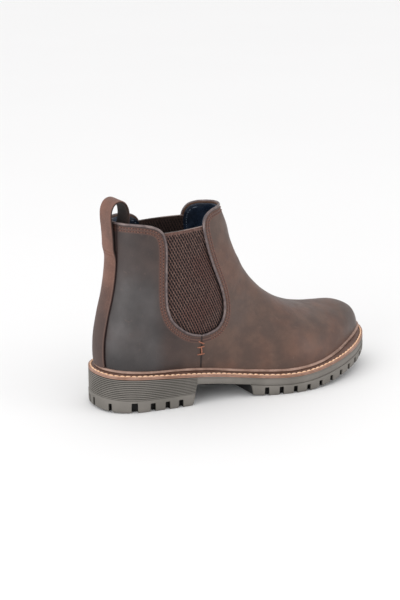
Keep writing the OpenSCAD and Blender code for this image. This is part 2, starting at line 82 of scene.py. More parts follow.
# Sections of the last from collar to toe: x z of the back or sole, x z of the front or top, half widths
# outer and inner, middle, share at which it is widest, and the powers of its two halves
FORM = np.array([
    [-130, 192, -22, 190, 31.5, 26.5, 0, 0.42, 2.2, 2.0],
    [-130, 170, -14.6, 170, 32.5, 27.5, 0, 0.42, 2.2, 2.0],
    [-130, 148, -9.8, 157, 34, 30, 0, 0.43, 2.2, 2.0],
    [-131.3, 126, -7.2, 147.5, 35, 32.5, 0, 0.44, 2.2, 2.0],
    [-134.7, 105, -4.9, 140.5, 36.5, 34.5, 0, 0.46, 2.2, 2.0],
    [-139.7, 85, -2.8, 135, 38, 36, 0, 0.48, 2.2, 2.0],
    [-143.6, 62, -0.6, 130, 39.5, 37, 0, 0.49, 2.25, 2.0],
    [-142.8, 38, 2.3, 125, 40, 37.5, 0, 0.5, 2.3, 2.0],
    [-135, 18, 5.4, 119, 39.5, 37.5, 0, 0.48, 2.4, 2.0],
    [-100, 10, 9.6, 112, 37, 36.5, 0, 0.42, 2.5, 2.0],
    [-55, 6, 17.2, 101.5, 38, 32.8, 0.5, 0.38, 2.8, 2.05],
    [-8, 4, 30, 89.2, 47.1, 33.8, 1.5, 0.32, 3, 2.1],
    [30, 4, 46, 78.6, 58, 39, 3, 0.28, 3, 2.1],
    [62, 5, 65, 70.5, 59, 42.5, 4, 0.26, 3, 2.1],
    [85, 8, 86, 65.4, 52.2, 44, 4.5, 0.26, 3, 2.15],
    [104, 12, 104, 63.6, 41.5, 41, 4.8, 0.26, 3, 2.2],
    [121.3, 15, 121.3, 62, 29.6, 35, 5, 0.26, 3, 2.25],
    [134.8, 18, 134.3, 56.4, 19, 27.5, 5.5, 0.26, 3, 2.3],
    [142.6, 20, 142.1, 48.3, 11.3, 17.5, 6.5, 0.26, 3, 2.3],
    [146.1, 21, 145.8, 39.6, 6.7, 9.5, 7.5, 0.26, 3, 2.3],
    [147.6, 22, 147.4, 30, 2.4, 2.5, 8.5, 0.26, 3, 2.3]])
SOLE_OUTLINE = np.array([
    [-150, 1], [-144.3, -22.5], [-126.2, -35.8], [-100, -41], [-68, -44.6], [-40, -45], [-14, -49.2],
    [10, -57.4], [35, -63], [60.5, -62.8], [88.5, -56], [115.4, -42], [136.6, -23], [147.6, -4.6],
    [149.4, 10], [146, 25.5], [134, 40], [110, 49.5], [80, 53.5], [50, 51.5], [20, 45.5], [-10, 39],
    [-40, 37.5], [-68, 39], [-100, 40], [-126, 36], [-143, 22.5]], float)
WELT_BASE = np.array([
    [-160, 33.6], [-150, 33.2], [-120, 31.5], [-95, 29.6], [-68, 27.2], [-45, 24], [-20, 20], [5, 17.2],
    [30, 16], [55, 17.2], [87, 21.5], [119, 26.1], [150, 30.7], [160, 32.2]])
QUARTER_EDGE = np.array([
    [-118, 173.2], [-108, 172], [-99.5, 169.6], [-93.2, 164.8], [-90.3, 157], [-89.6, 148], [-90, 135],
    [-91, 118], [-91.6, 104], [-90.8, 93], [-87, 83.2], [-79, 74.8], [-68.5, 68], [-55.5, 64]])
COLLAR_BACK = np.array([-130, 173.6])
VAMP_EDGE = np.array([
    [-55.5, 64], [-46, 64.8], [-36.8, 68.3], [-30.2, 76.2], [-28, 86], [-29.8, 98], [-34.3, 112],
    [-40.5, 130], [-45.8, 148], [-48.2, 162], [-46.8, 170], [-42.5, 175.3], [-35, 178]])
COLLAR_FRONT = np.array([-17.5, 178.8])
LOOP_LINE = np.array([
    [-132.6, 146], [-132.4, 156], [-132.8, 166], [-133.4, 175.5], [-133, 184], [-130, 190.2],
    [-124.8, 192.6], [-119.6, 190.8], [-116.4, 185.6], [-115.4, 178.5], [-116.4, 171], [-118.6, 164],
    [-120.9, 157], [-123.2, 149], [-123.2, 138]])
BREAST = ((-68.8, 0.0), (-64.0, 20.0))
TREAD_REAR = ((-6.8, 1.6), (-9.6, 12.2))
TREAD_REAR_FLAT = 5.0
HEEL_LIFT = ((-160, -150, -136, -122), (2.2, 1.6, 0.4, 0.0))
HEEL_PARTING = ((-160, -150, -132, -112), (3.8, 2.6, 0.9, 0.0))
# Distance from the heel's back, width against the forepart's, and added height
HEEL_NOTCHES = (
    (3.1, 0.85, 3.7), (25.6, 0.8, 2.5), (48.1, 1.4, 3.3), (65.8, 1.2, 1.7), (81, 1.1, 1.4), (93.5, 1.1, 1.2))
NOTCH_RISE = ((0, 20, 42, 60), (2.2, 1.5, 0.3, 0.0))
MEDIAL_X = 5.5


# ---- Curves and the foot form ----
def mix4(a, b, c, d, t):
    return 0.5 * (2 * b + (c - a) * t + (2 * a - 5 * b + 4 * c - d) * t**2 + (d - a + 3 * b - 3 * c) * t**3)


def curve(p, n):
    p = np.asarray(p, float)
    last = len(p) - 1
    out = []
    for i in range(last):
        for k in range(n):
            out.append(mix4(p[max(i - 1, 0)], p[i], p[i + 1], p[min(i + 2, last)], k / n))
    return np.array(out + [p[last]])


def ring_curve(p, n):
    m = len(p)
    return np.array([
        mix4(p[i - 1], p[i], p[(i + 1) % m], p[(i + 2) % m], k / n) for i in range(m) for k in range(n)])


def run_along(p):
    """Distance from a line's start to each of its points."""
    return np.concatenate([[0], np.cumsum(np.linalg.norm(np.diff(p, axis=0), axis=1))])


def anticlockwise(poly):
    return np.sum(poly[:, 0] * np.roll(poly[:, 1], -1) - np.roll(poly[:, 0], -1) * poly[:, 1]) >= 0


def resample(p, count):
    run = run_along(p)
    s = np.linspace(0, run[-1], count)
    return np.stack([np.interp(s, run, p[:, k]) for k in range(p.shape[1])], 1)


def sections(u):
    u = np.clip(np.asarray(u, float), 0, len(FORM) - 1)
    i = np.minimum(u.astype(int), len(FORM) - 2)
    t = (u - i)[..., None]
    last = len(FORM) - 1
    return mix4(FORM[np.maximum(i - 1, 0)], FORM[i], FORM[i + 1], FORM[np.minimum(i + 2, last)], t)


def surface(u, a):
    a = (np.asarray(a, float) + PI) % (2 * PI) - PI
    s = sections(u)
    c = np.cos(a)
    e = np.where(c > 0, s[..., 8], s[..., 9])
    k = np.abs(c) ** (2 / e)
    q = np.abs(np.sin(a)) ** (2 / e)
    m = s[..., 7]
    along = np.where(c > 0, m * (1 - k), m + (1 - m) * k)
    w = np.where(a < 0, -s[..., 4], s[..., 5])
    return np.stack([
        s[..., 0] + (s[..., 2] - s[..., 0]) * along,
        s[..., 6] + w * q,
        s[..., 1] + (s[..., 3] - s[..., 1]) * along], -1)


def normals(u, a, h=0.02):
    du = surface(np.minimum(u + h, len(FORM) - 1), a) - surface(np.maximum(u - h, 0), a)
    da = surface(u, a + 0.03) - surface(u, a - 0.03)
    n = np.cross(da, du)
    return n / np.maximum(np.linalg.norm(n, axis=-1, keepdims=True), 1e-9)


def form_at(ua):
    """Points of the form; ua holds section numbers and angles."""
    return surface(ua[..., 0], ua[..., 1])


def ups_at(ua):
    return normals(ua[..., 0], ua[..., 1])


def on_form(ua, out=0.0):
    return form_at(ua) + ups_at(ua) * np.asarray(out)[..., None]


def find(xz, side):
    """Section number and angle under points of the side view."""
    xz = np.array(xz, float)
    if side > 0:
        xz[:, 0] += MEDIAL_X * np.clip((xz[:, 0] + 130) / 12, 0, 1) * np.clip((-17.5 - xz[:, 0]) / 17.5, 0, 1)
    lo, hi = np.zeros(len(xz)), np.full(len(xz), float(len(FORM) - 1))
    for _ in range(28):
        mid = (lo + hi) / 2
        s = sections(mid)
        v = (s[:, 2] - s[:, 0]) * (xz[:, 1] - s[:, 1]) - (s[:, 3] - s[:, 1]) * (xz[:, 0] - s[:, 0])
        lo, hi = np.where(v < 0, mid, lo), np.where(v < 0, hi, mid)
    u = (lo + hi) / 2
    s = sections(u)
    d = s[:, 2:4] - s[:, 0:2]
    along = np.clip(np.sum((xz - s[:, 0:2]) * d, 1) / np.sum(d * d, 1), 0, 1)
    m = s[:, 7]
    back = np.arccos(np.clip(1 - along / m, 0, 1) ** (s[:, 8] / 2))
    front = PI - np.arccos(np.clip((along - m) / (1 - m), 0, 1) ** (s[:, 9] / 2))
    return np.stack([u, side * np.where(along < m, back, front)], 1)


WELT_LINE = curve(WELT_BASE, 6)


def welt_z(x):
    return np.interp(x, WELT_LINE[:, 0], WELT_LINE[:, 1])


def ground_z(x):
    """Underside of the forepart tread, which lifts at the toe and a little at its back end."""
    x = np.asarray(x, float)
    back = TREAD_REAR[0][1] * np.clip((TREAD_REAR_FLAT - x) / (TREAD_REAR_FLAT - TREAD_REAR[0][0]), 0, 1)
    return TOE_LIFT * (np.clip((x - TOE_FROM) / TOE_RUN, 0, None)) ** TOE_POWER + back


def heel_low(x):
    return np.interp(x, *HEEL_LIFT)


def heel_top(x):
    return HEEL_TREAD_H + np.interp(x, *HEEL_PARTING)


def height_line(angles, height, out=0.0):
    """Sections where the form, moved out, meets a height over the welt's underside."""
    angles = np.asarray(angles, float)
    lo, hi = np.full(len(angles), 3.0), np.full(len(angles), 20.0)
    for _ in range(30):
        mid = (lo + hi) / 2
        p = on_form(np.stack([mid, angles], 1), out)
        above = p[:, 2] > welt_z(p[:, 0]) + height
        lo, hi = np.where(above, mid, lo), np.where(above, hi, mid)
    return np.stack([(lo + hi) / 2, angles], 1)


def wave(p):
    """Slow unevenness of worn leather, in millimetres."""
    x, y, z = p[:, 0], p[:, 1], p[:, 2]
    s = np.sin(x / 13.1 + 0.7 * np.sin(z / 17.3)) * np.cos(z / 15.7 + y / 19.0)
    s += 0.7 * np.sin(y / 9.3 + x / 21.0 + 1.3) * np.sin(z / 11.9 - x / 16.1)
    s += 0.4 * np.sin(x / 6.1 - z / 7.7 + y / 8.3)
    flex = np.exp(-((x - 2 + 0.35 * (z - 95)) / 14.0) ** 2) * np.clip((z - 70) / 30, 0, 1)
    s += 1.2 * flex * np.sin((z + 0.55 * x) / 3.9 + 0.5 * np.sin(y / 9.0))
    return 0.13 * s


def skin(ua, out=0.0):
    """Points of the leather's surface, moved out, with its unevenness."""
    ua = np.asarray(ua, float)
    base = form_at(ua)
    return base + ups_at(ua) * (np.asarray(out, float) + wave(base))[..., None]


# ---- A flat map of the form, close to true lengths, in which panels are cut ----
MAP_U = np.arange(0, len(FORM) - 1 + 1e-6, 0.05)
MAP_A = np.linspace(0, PI, 361)
MAP_V = np.linspace(0, 1, 241)


def make_map(side):
    rows = np.array([surface(np.full(len(MAP_A), u), side * MAP_A) for u in MAP_U])
    run = np.concatenate(
        [np.zeros((len(MAP_U), 1)), np.cumsum(np.linalg.norm(np.diff(rows, axis=1), axis=2), axis=1)], 1)
    length = run[:, -1]
    share = run / length[:, None]
    back = np.array([np.interp(MAP_V, share[i], MAP_A) for i in range(len(MAP_U))])
    step = np.linalg.norm(np.diff(rows, axis=0), axis=2).mean(1)
    return length, share, back, np.concatenate([[0], np.cumsum(step)])


MAPS = {side: make_map(side) for side in (-1, 1)}
MAP_X = (MAPS[-1][3] + MAPS[1][3]) / 2


def lookup2(table, rows, cols, r, c):
    """Value between the entries of a table."""
    i = np.clip(np.searchsorted(rows, r) - 1, 0, len(rows) - 2)
    j = np.clip(np.searchsorted(cols, c) - 1, 0, len(cols) - 2)
    s = np.clip((r - rows[i]) / (rows[i + 1] - rows[i]), 0, 1)
    t = np.clip((c - cols[j]) / (cols[j + 1] - cols[j]), 0, 1)
    return ((1 - s) * (1 - t) * table[i, j] + s * (1 - t) * table[i + 1, j]
            + (1 - s) * t * table[i, j + 1] + s * t * table[i + 1, j + 1])


def to_map(ua, from_front):
    u, a = ua[:, 0], (ua[:, 1] + PI) % (2 * PI) - PI
    a = np.where((np.abs(a) > PI - 1e-9) & (ua[:, 1] > 0), PI, a)
    x = np.interp(u, MAP_U, MAP_X)
    y = np.zeros(len(u))
    for side in (-1, 1):
        length, share, back, run = MAPS[side]
        pick = (a < 0) == (side < 0)
        v = lookup2(share, MAP_U, MAP_A, u[pick], np.abs(a[pick]))
        v = 1 - v if from_front else v
        y[pick] = side * v * np.interp(u[pick], MAP_U, length)
    return np.stack([x, y], 1)


def from_map(xy, from_front):
    u = np.interp(xy[:, 0], MAP_X, MAP_U)
    a = np.zeros(len(u))
    for side in (-1, 1):
        length, share, back, run = MAPS[side]
        pick = (xy[:, 1] < 0) == (side < 0)
        v = np.clip(np.abs(xy[pick, 1]) / np.interp(u[pick], MAP_U, length), 0, 1)
        v = 1 - v if from_front else v
        a[pick] = side * lookup2(back, MAP_U, MAP_V, u[pick], v)
    return np.stack([u, a], 1)


def inside(poly, pts):
    """Which points lie in a closed outline."""
    res = np.zeros(len(pts), bool)
    x, y = pts[:, 0], pts[:, 1]
    for a, b in zip(poly, np.roll(poly, -1, axis=0)):
        cross = (a[1] > y) != (b[1] > y)
        with np.errstate(divide="ignore", invalid="ignore"):
            at = a[0] + (y - a[1]) / (b[1] - a[1]) * (b[0] - a[0])
        res ^= cross & (x < at)
    return res


def distance(pts, line, closed=False, block=4000):
    """Distance of each point from a line, by the line's closest corner or side."""
    line = np.asarray(line, float)
    a = line if closed else line[:-1]
    b = np.roll(line, -1, axis=0) if closed else line[1:]
    d = b - a
    dd = np.maximum((d * d).sum(1), 1e-12)
    res = np.empty(len(pts))
    for k in range(0, len(pts), block):
        p = pts[k:k + block, None, :] - a[None]
        t = np.clip((p * d[None]).sum(2) / dd[None], 0, 1)
        res[k:k + block] = np.sqrt(((p - t[..., None] * d[None]) ** 2).sum(2).min(1))
    return res


def grid_inside(poly, step, margin):
    lo, hi = poly.min(0), poly.max(0)
    gx = np.arange(lo[0] + step / 2, hi[0], step)
    gy = np.arange(lo[1] + step / 2, hi[1], step * 0.87)
    pts = np.array([(x + (step / 2 if j % 2 else 0), y) for j, y in enumerate(gy) for x in gx])
    pts = pts[inside(poly, pts)]
    return pts[distance(pts, poly, True) > margin]


def triangles(poly, extra):
    """Triangles over an outline and the points inside it; the outline's points come first."""
    n = len(poly)
    pts = [Vector(p) for p in np.concatenate([poly, extra])]
    edges = [(i, (i + 1) % n) for i in range(n)]
    verts, _, faces, orig, _, _ = delaunay_2d_cdt(pts, edges, [], 1, 1e-5)
    index = [o[0] if o else -1 for o in orig]
    if len(verts) != len(pts) or min(index) < 0:
        raise RuntimeError(f"an outline crosses itself: {len(verts)} points from {len(pts)}")
    return [[index[i] for i in f] for f in faces]


# ---- Objects ----
def build(name, points, faces, smooth=True, sharp=None, attributes=None):
    """Mesh object from points in millimetres, before the shift that centres the box."""
    mesh = bpy.data.meshes.new(name)
    pts = (np.asarray(points, float) + [0, Y_SHIFT, 0]) * MM
    mesh.from_pydata([tuple(p) for p in pts], [], [tuple(f) for f in faces])
    for key, values in (attributes or {}).items():
        layer = mesh.attributes.new(key, "FLOAT", "POINT")
        layer.data.foreach_set("value", np.asarray(values, np.float32))
    mesh.validate()
    mesh.update()
    obj = bpy.data.objects.new(name, mesh)
    bpy.context.scene.collection.objects.link(obj)
    if smooth:
        mesh.polygons.foreach_set("use_smooth", [True] * len(mesh.polygons))
        if sharp:
            mesh.set_sharp_from_angle(angle=math.radians(sharp))
    return obj


def outward(obj):
    bm = bmesh.new()
    bm.from_mesh(obj.data)
    bmesh.ops.recalc_face_normals(bm, faces=bm.faces)
    bm.to_mesh(obj.data)
    bm.free()
    return obj


def shell_faces(tris, m, n):
    """Two sheets of m points each, joined along an edge of n."""
    faces = tris + [[i + m for i in t[::-1]] for t in tris]
    return faces + [[i, (i + 1) % n, (i + 1) % n + m, i + m] for i in range(n)]


def panel(name, edge_ua, from_front, outer, inner, step, marks=None, rings=(0.8, 2.0)):
    """Closed piece of the upper, cut along an outline on the form."""
    poly = to_map(edge_ua, from_front)
    n = len(poly)
    if not anticlockwise(poly):
        poly, edge_ua = poly[::-1].copy(), edge_ua[::-1].copy()
    tangent = np.roll(poly, -1, axis=0) - np.roll(poly, 1, axis=0)
    tangent /= np.maximum(np.linalg.norm(tangent, axis=1, keepdims=True), 1e-9)
    normal = np.stack([-tangent[:, 1], tangent[:, 0]], 1)
    extra = []
    for depth in rings:
        ring = poly + normal * depth
        keep = inside(poly, ring) & (distance(ring, poly, True) > depth * 0.93)
        ring = ring[keep]
        if len(ring):
            gap = np.linalg.norm(ring - np.roll(ring, 1, axis=0), axis=1)
            extra.append(ring[gap > TOO_CLOSE])
    extra.append(grid_inside(poly, step, (rings[-1] if rings else 0) + step * 0.6))
    extra = np.concatenate(extra)
    tris = triangles(poly, extra)
    ua = np.concatenate([edge_ua, from_map(extra, from_front)])
    base = form_at(ua)
    rim = distance(np.concatenate([poly, extra]), poly, True)
    out = outer(base, rim) if callable(outer) else np.full(len(ua), float(outer))
    inn = inner(base, rim) if callable(inner) else np.full(len(ua), float(inner))
    top, bottom = skin(ua, out), skin(ua, inn)
    m = len(ua)
    facing = np.mean([
        np.dot(np.cross(top[t[1]] - top[t[0]], top[t[2]] - top[t[0]]), ups_at(ua[t[:1]])[0])
        for t in tris[::max(1, len(tris) // 40)]])
    if facing < 0:
        tris = [t[::-1] for t in tris]
    faces = shell_faces(tris, m, n)
    values = {key: np.tile(fn(base), 2) for key, fn in (marks or {}).items()}
    values["outer"] = np.concatenate([np.ones(m), np.zeros(m)])
    return outward(build(name, np.concatenate([top, bottom]), faces, sharp=50, attributes=values))


def frames(path):
    """Directions along a path, for tubes and bands."""
    t = np.empty_like(path)
    t[1:-1] = path[2:] - path[:-2]
    t[0], t[-1] = path[1] - path[0], path[-1] - path[-2]
    return t / np.maximum(np.linalg.norm(t, axis=1, keepdims=True), 1e-9)


def tube_mesh(path, ups, r, sides=12):
    """Points and faces of a tube; r is a number or one for each point."""
    path = np.asarray(path, float)
    n = len(path)
    t = frames(path)
    b = np.cross(t, ups)
    b /= np.maximum(np.linalg.norm(b, axis=1, keepdims=True), 1e-9)
    c = np.cross(b, t)
    r = np.broadcast_to(np.asarray(r, float), (n,))
    ang = np.arange(sides) * 2 * PI / sides
    pts = (path[:, None] + r[:, None, None] * (
        np.cos(ang)[None, :, None] * b[:, None] + np.sin(ang)[None, :, None] * c[:, None])).reshape(-1, 3)
    faces = []
    for i in range(n - 1):
        for j in range(sides):
            q = (j + 1) % sides
            faces.append([i * sides + j, i * sides + q, (i + 1) * sides + q, (i + 1) * sides + j])
    faces.append(list(range(sides))[::-1])
    faces.append([(n - 1) * sides + j for j in range(sides)])
    return pts, faces


def joined(name, parts, **kw):
    """One object from the points and faces of many parts."""
    points, faces, base = [], [], 0
    for pts, fcs in parts:
        points.append(pts)
        faces += [[i + base for i in f] for f in fcs]
        base += len(pts)
    return build(name, np.concatenate(points), faces, **kw)


def stitch_row(line, ups, length, gap, r, sink=0.25):
    """Short rounded threads along a line on a surface."""
    line = np.asarray(line, float)
    run = run_along(line)

    def at(s):
        p = np.array([np.interp(s, run, line[:, k]) for k in range(3)])
        u = np.array([np.interp(s, run, ups[:, k]) for k in range(3)])
        return p, u / np.linalg.norm(u)

    parts = []
    count = int(run[-1] // (length + gap))
    pitch = run[-1] / max(count, 1)
    for k in range(count):
        s0 = k * pitch + gap / 2
        pts, us, rs = [], [], []
        for t in (0.0, 0.12, 0.5, 0.88, 1.0):
            p, u = at(s0 + t * (pitch - gap))
            arch = math.sin(PI * t)
            pts.append(p + u * (-sink + (sink + r * 0.55) * arch))
            us.append(u)
            rs.append(r * (0.45 + 0.55 * arch ** 0.5))
        parts.append(tube_mesh(np.array(pts), np.array(us), np.array(rs), 6))
    return parts


def beside(p, d):
    """Open line of the side view moved to its left by d."""
    t = frames(np.asarray(p, float))
    return p + d * np.stack([-t[:, 1], t[:, 0]], 1)


def even(ua, step):
    """Points of a line on the form at even true distances."""
    run = run_along(form_at(ua))
    s = np.linspace(0, run[-1], max(int(round(run[-1] / step)), 2) + 1)
    return np.stack([np.interp(s, run, ua[:, 0]), np.interp(s, run, ua[:, 1])], 1)


def swoop(a, b, n):
    """Line from a to b whose points crowd at a."""
    t = np.linspace(0, 1, n, endpoint=False)[:, None]
    return a + (b - a) * t * t


QUARTER_LINE = np.concatenate([swoop(COLLAR_BACK, QUARTER_EDGE[0], 30), curve(QUARTER_EDGE, 12)])
VAMP_LINE = np.concatenate([curve(VAMP_EDGE, 12)[:-1], swoop(COLLAR_FRONT, VAMP_EDGE[-1], 30)[::-1]])
SEAM_FOOT = {s: float(welt_z(SEAM_X + (MEDIAL_X if s > 0 else 0))) + WELT_T for s in (-1, 1)}


def quarter_edge(side, drop=0.0, step=1.1):
    line = beside(QUARTER_LINE, -drop)
    line[:, 0] = np.minimum(line[:, 0], SEAM_X)
    return even(find(line, side), step)


def vamp_edge(side, drop=0.0, step=1.1):
    line = beside(VAMP_LINE, -drop)
    line[:, 0] = np.maximum(line[:, 0], SEAM_X)
    return even(find(line, side), step)


def seam_line(side, top, step=1.1):
    z = np.linspace(top, SEAM_FOOT[side], 40)
    return even(find(np.stack([np.full(40, SEAM_X), z], 1), side), step)


def feather(side, a0, a1, step=1.2, height=WELT_T, out=0.0):
    t = np.linspace(0, 1, 900)
    ang = a0 + (a1 - a0) * t
    return even(height_line(side * ang, height, out), step)


def chain(*lines):
    """One closed outline from lines laid end to end."""
    ua = np.concatenate(lines)
    p = form_at(ua)
    keep = [0]
    for i in range(1, len(ua)):
        if np.linalg.norm(p[i] - p[keep[-1]]) > TOO_CLOSE:
            keep.append(i)
    if np.linalg.norm(p[keep[-1]] - p[0]) < TOO_CLOSE:
        keep.pop()
    return ua[keep]


def quarter_outline(side, drop=0.0, step=1.1):
    edge = quarter_edge(side, drop, step)
    seam = seam_line(side, float(form_at(edge[-1:])[0, 2]), step)
    foot = feather(side, abs(seam[-1, 1]), 0.0, step)
    u0, u1 = foot[-1, 0], edge[0, 0]
    back = even(np.stack([np.linspace(u0, u1, 80), np.zeros(80)], 1), step)
    return chain(edge, seam, foot, back)


def vamp_outline(drop=0.0, step=1.1):
    parts = []
    for side in (1, -1):
        edge = vamp_edge(side, drop, step)[::-1]
        seam = seam_line(side, float(form_at(edge[-1:])[0, 2]), step)
        foot = feather(side, abs(seam[-1, 1]), PI, step)
        half = np.concatenate([edge, seam, foot])
        half[:, 1] = side * np.abs(half[:, 1])
        parts.append(half if side > 0 else half[::-1])
    return chain(*parts)


QUARTER_3D = {s: skin(quarter_edge(s, 0, EDGE_STEP)) for s in (-1, 1)}
VAMP_3D = {s: skin(vamp_edge(s, 0, EDGE_STEP)) for s in (-1, 1)}
SEAM_3D = {s: skin(seam_line(s, SEAM_TOP)) for s in (-1, 1)}


def edge_mark(lines):
    return lambda base: np.minimum.reduce([distance(base, line) for line in lines])


SEAM_ROLL, SEAM_ROLL_W = 0.55, 0.9
BOARD_FACE, GUSSET_FACE = -3.3, -3.55


def seam_dip(lines):
    """Outer face of a leather piece, rolled down at its cut seams."""
    def outer(base, rim):
        d = np.minimum.reduce([distance(base, line) for line in lines])
        return -SEAM_ROLL * np.exp(-(d / SEAM_ROLL_W) ** 2)
    return outer


def leather_in(base, rim):
    return np.full(len(base), -LEATHER_T)


COUNTER = np.array([[-200, 20], [-82, 20], [-84, 48], [-92, 66], [-106, 80], [-125, 88], [-200, 90]], float)
PUFF = np.array([[200, 10], [96, 10], [98, 40], [104, 60], [112, 80], [200, 80]], float)


def gusset_outline(margin):
    q = beside(QUARTER_EDGE, -margin)
    v = beside(VAMP_EDGE, -margin)
    q = q[(q[:, 1] < 162) & (q[:, 1] > 66)]
    v = v[(v[:, 1] < 163) & (v[:, 0] > -47)]
    return np.concatenate([q, [[SEAM_X, 64 - margin]], v, [[-48 + margin, 165.4], [-90.5 - margin, 164]]])


def lining_out(base, rim):
    """Outer face of the lining, lowered under the stiff boards and the gussets."""
    xz = base[:, [0, 2]]
    res = np.full(len(base), -LEATHER_T - 0.05)
    for shape in (COUNTER, PUFF):
        near = np.where(inside(shape, xz), 0.0, distance(xz, shape, True))
        res = np.minimum(res, BOARD_FACE + np.clip(near / 2.0, 0, 1) * 1.25)
    shape = gusset_outline(5.6)
    xz[:, 0] -= np.where(base[:, 1] > 0, MEDIAL_X, 0.0)
    near = np.where(inside(shape, xz), 0.0, distance(xz, shape, True))
    return np.minimum(res, GUSSET_FACE + np.clip(near / 1.5, 0, 1) * 1.5)


def lining_in(base, rim):
    return LINING_IN + 0.35 * np.exp(-rim / 0.8)


def strap_marks(base):
    """Distance from the back strap's edges."""
    d = np.abs(np.abs(base[:, 1]) - STRAP_W / 2)
    return np.where(base[:, 0] < -80, d, 50.0)


# ---- Upper leather ----
upper = {}
for side, word in SIDES:
    upper["quarter_" + word] = panel(
        "quarter_" + word, quarter_outline(side), False, seam_dip([SEAM_3D[side]]), leather_in, PANEL_STEP,
        {"edge": edge_mark([QUARTER_3D[side]]), "seam": edge_mark([SEAM_3D[side]]), "strap": strap_marks})
upper["vamp"] = panel(
    "vamp", vamp_outline(), True, seam_dip([SEAM_3D[-1], SEAM_3D[1]]), leather_in, PANEL_STEP,
    {"edge": edge_mark([VAMP_3D[-1], VAMP_3D[1]]), "seam": edge_mark([SEAM_3D[-1], SEAM_3D[1]]),
     "strap": lambda base: np.full(len(base), 50.0)})

# ---- Linings ----
for side, word in SIDES:
    upper["quarter_lining_" + word] = panel(
        "quarter_lining_" + word, quarter_outline(side, 1.2, 1.6), False, lining_out, lining_in, LINING_STEP,
        {"edge": edge_mark([QUARTER_3D[side]])}, rings=(1.0,))
upper["vamp_lining"] = panel(
    "vamp_lining", vamp_outline(1.2, 1.6), True, lining_out, lining_in, LINING_STEP,
    {"edge": edge_mark([VAMP_3D[-1], VAMP_3D[1]])}, rings=(1.0,))


# ---- Folded edges ----
def fold(name, ua, r0=FOLD_R - 0.32, taper=(False, False)):
    centre = skin(ua, np.full(len(ua), 0.75 - r0))
    up = ups_at(ua)
    s = np.arange(len(ua)) * EDGE_STEP
    r = r0 * (1 + 0.035 * np.sin(s / 5.3) + 0.025 * np.sin(s / 2.1 + 1.0))
    for end, flag in enumerate(taper):
        if flag:
            d = (s if end == 0 else s[-1] - s) / 1.6
            r *= np.sqrt(np.clip(1 - (1 - np.clip(d, 0, 1)) ** 2, 0.02, 1))
    pts, faces = tube_mesh(centre, up, r, 14)
    return outward(build(name, pts, faces, sharp=60))


for side, word in SIDES:
    line = quarter_edge(side, 0, EDGE_STEP)
    upper["quarter_fold_" + word] = fold("quarter_fold_" + word, line, taper=(False, True))
left, right = vamp_edge(-1, 0, EDGE_STEP), vamp_edge(1, 0, EDGE_STEP)[::-1]
left[:, 1] = -np.abs(left[:, 1])
right = right[1:]
front = np.concatenate([left, np.stack([right[:, 0], np.abs(right[:, 1]) - 2 * PI], 1)])
upper["front_fold"] = fold("front_fold", front, taper=(True, True))

# ---- Elastic gussets ----
COLUMN, ROW = 2.84, 2.6
KNIT_STEP = 0.474
GUSSET_OUT, GUSSET_T, GUSSET_BULGE = -2.45, 0.95, 0.95
GUSSET_TOP = np.array([[-90.5 - 5, 164.0], [-48 + 5, 165.4]])


def gusset_relief(xz, below_top):
    """Height and openness of the knit at points of the side view."""
    x, z = xz[:, 0], xz[:, 1]
    pit = np.zeros(len(xz))
    row = np.round(z / ROW)
    for k in (-1, 0, 1):
        r = row + k
        shift = np.where(np.mod(r, 2) > 0.5, COLUMN / 2, 0.0)
        wobble = 0.10 * np.sin(r * 2.3 + np.round(x / COLUMN) * 1.7)
        dx = (x - shift + wobble + COLUMN / 2) % COLUMN - COLUMN / 2
        dz = z - r * ROW - wobble
        pit = np.maximum(pit, np.exp(-(((dx + 0.2 * dz) / 0.82) ** 2 + (dz / 1.3) ** 2)))
    hem = np.clip((below_top - 2.4) / 1.6, 0, 1)
    pit *= hem
    rib = 0.5 + 0.5 * np.cos(2 * PI * x / (COLUMN / 2))
    height = -0.85 * pit + 0.16 * hem + (1 - hem) * 0.16 * rib
    return height, pit


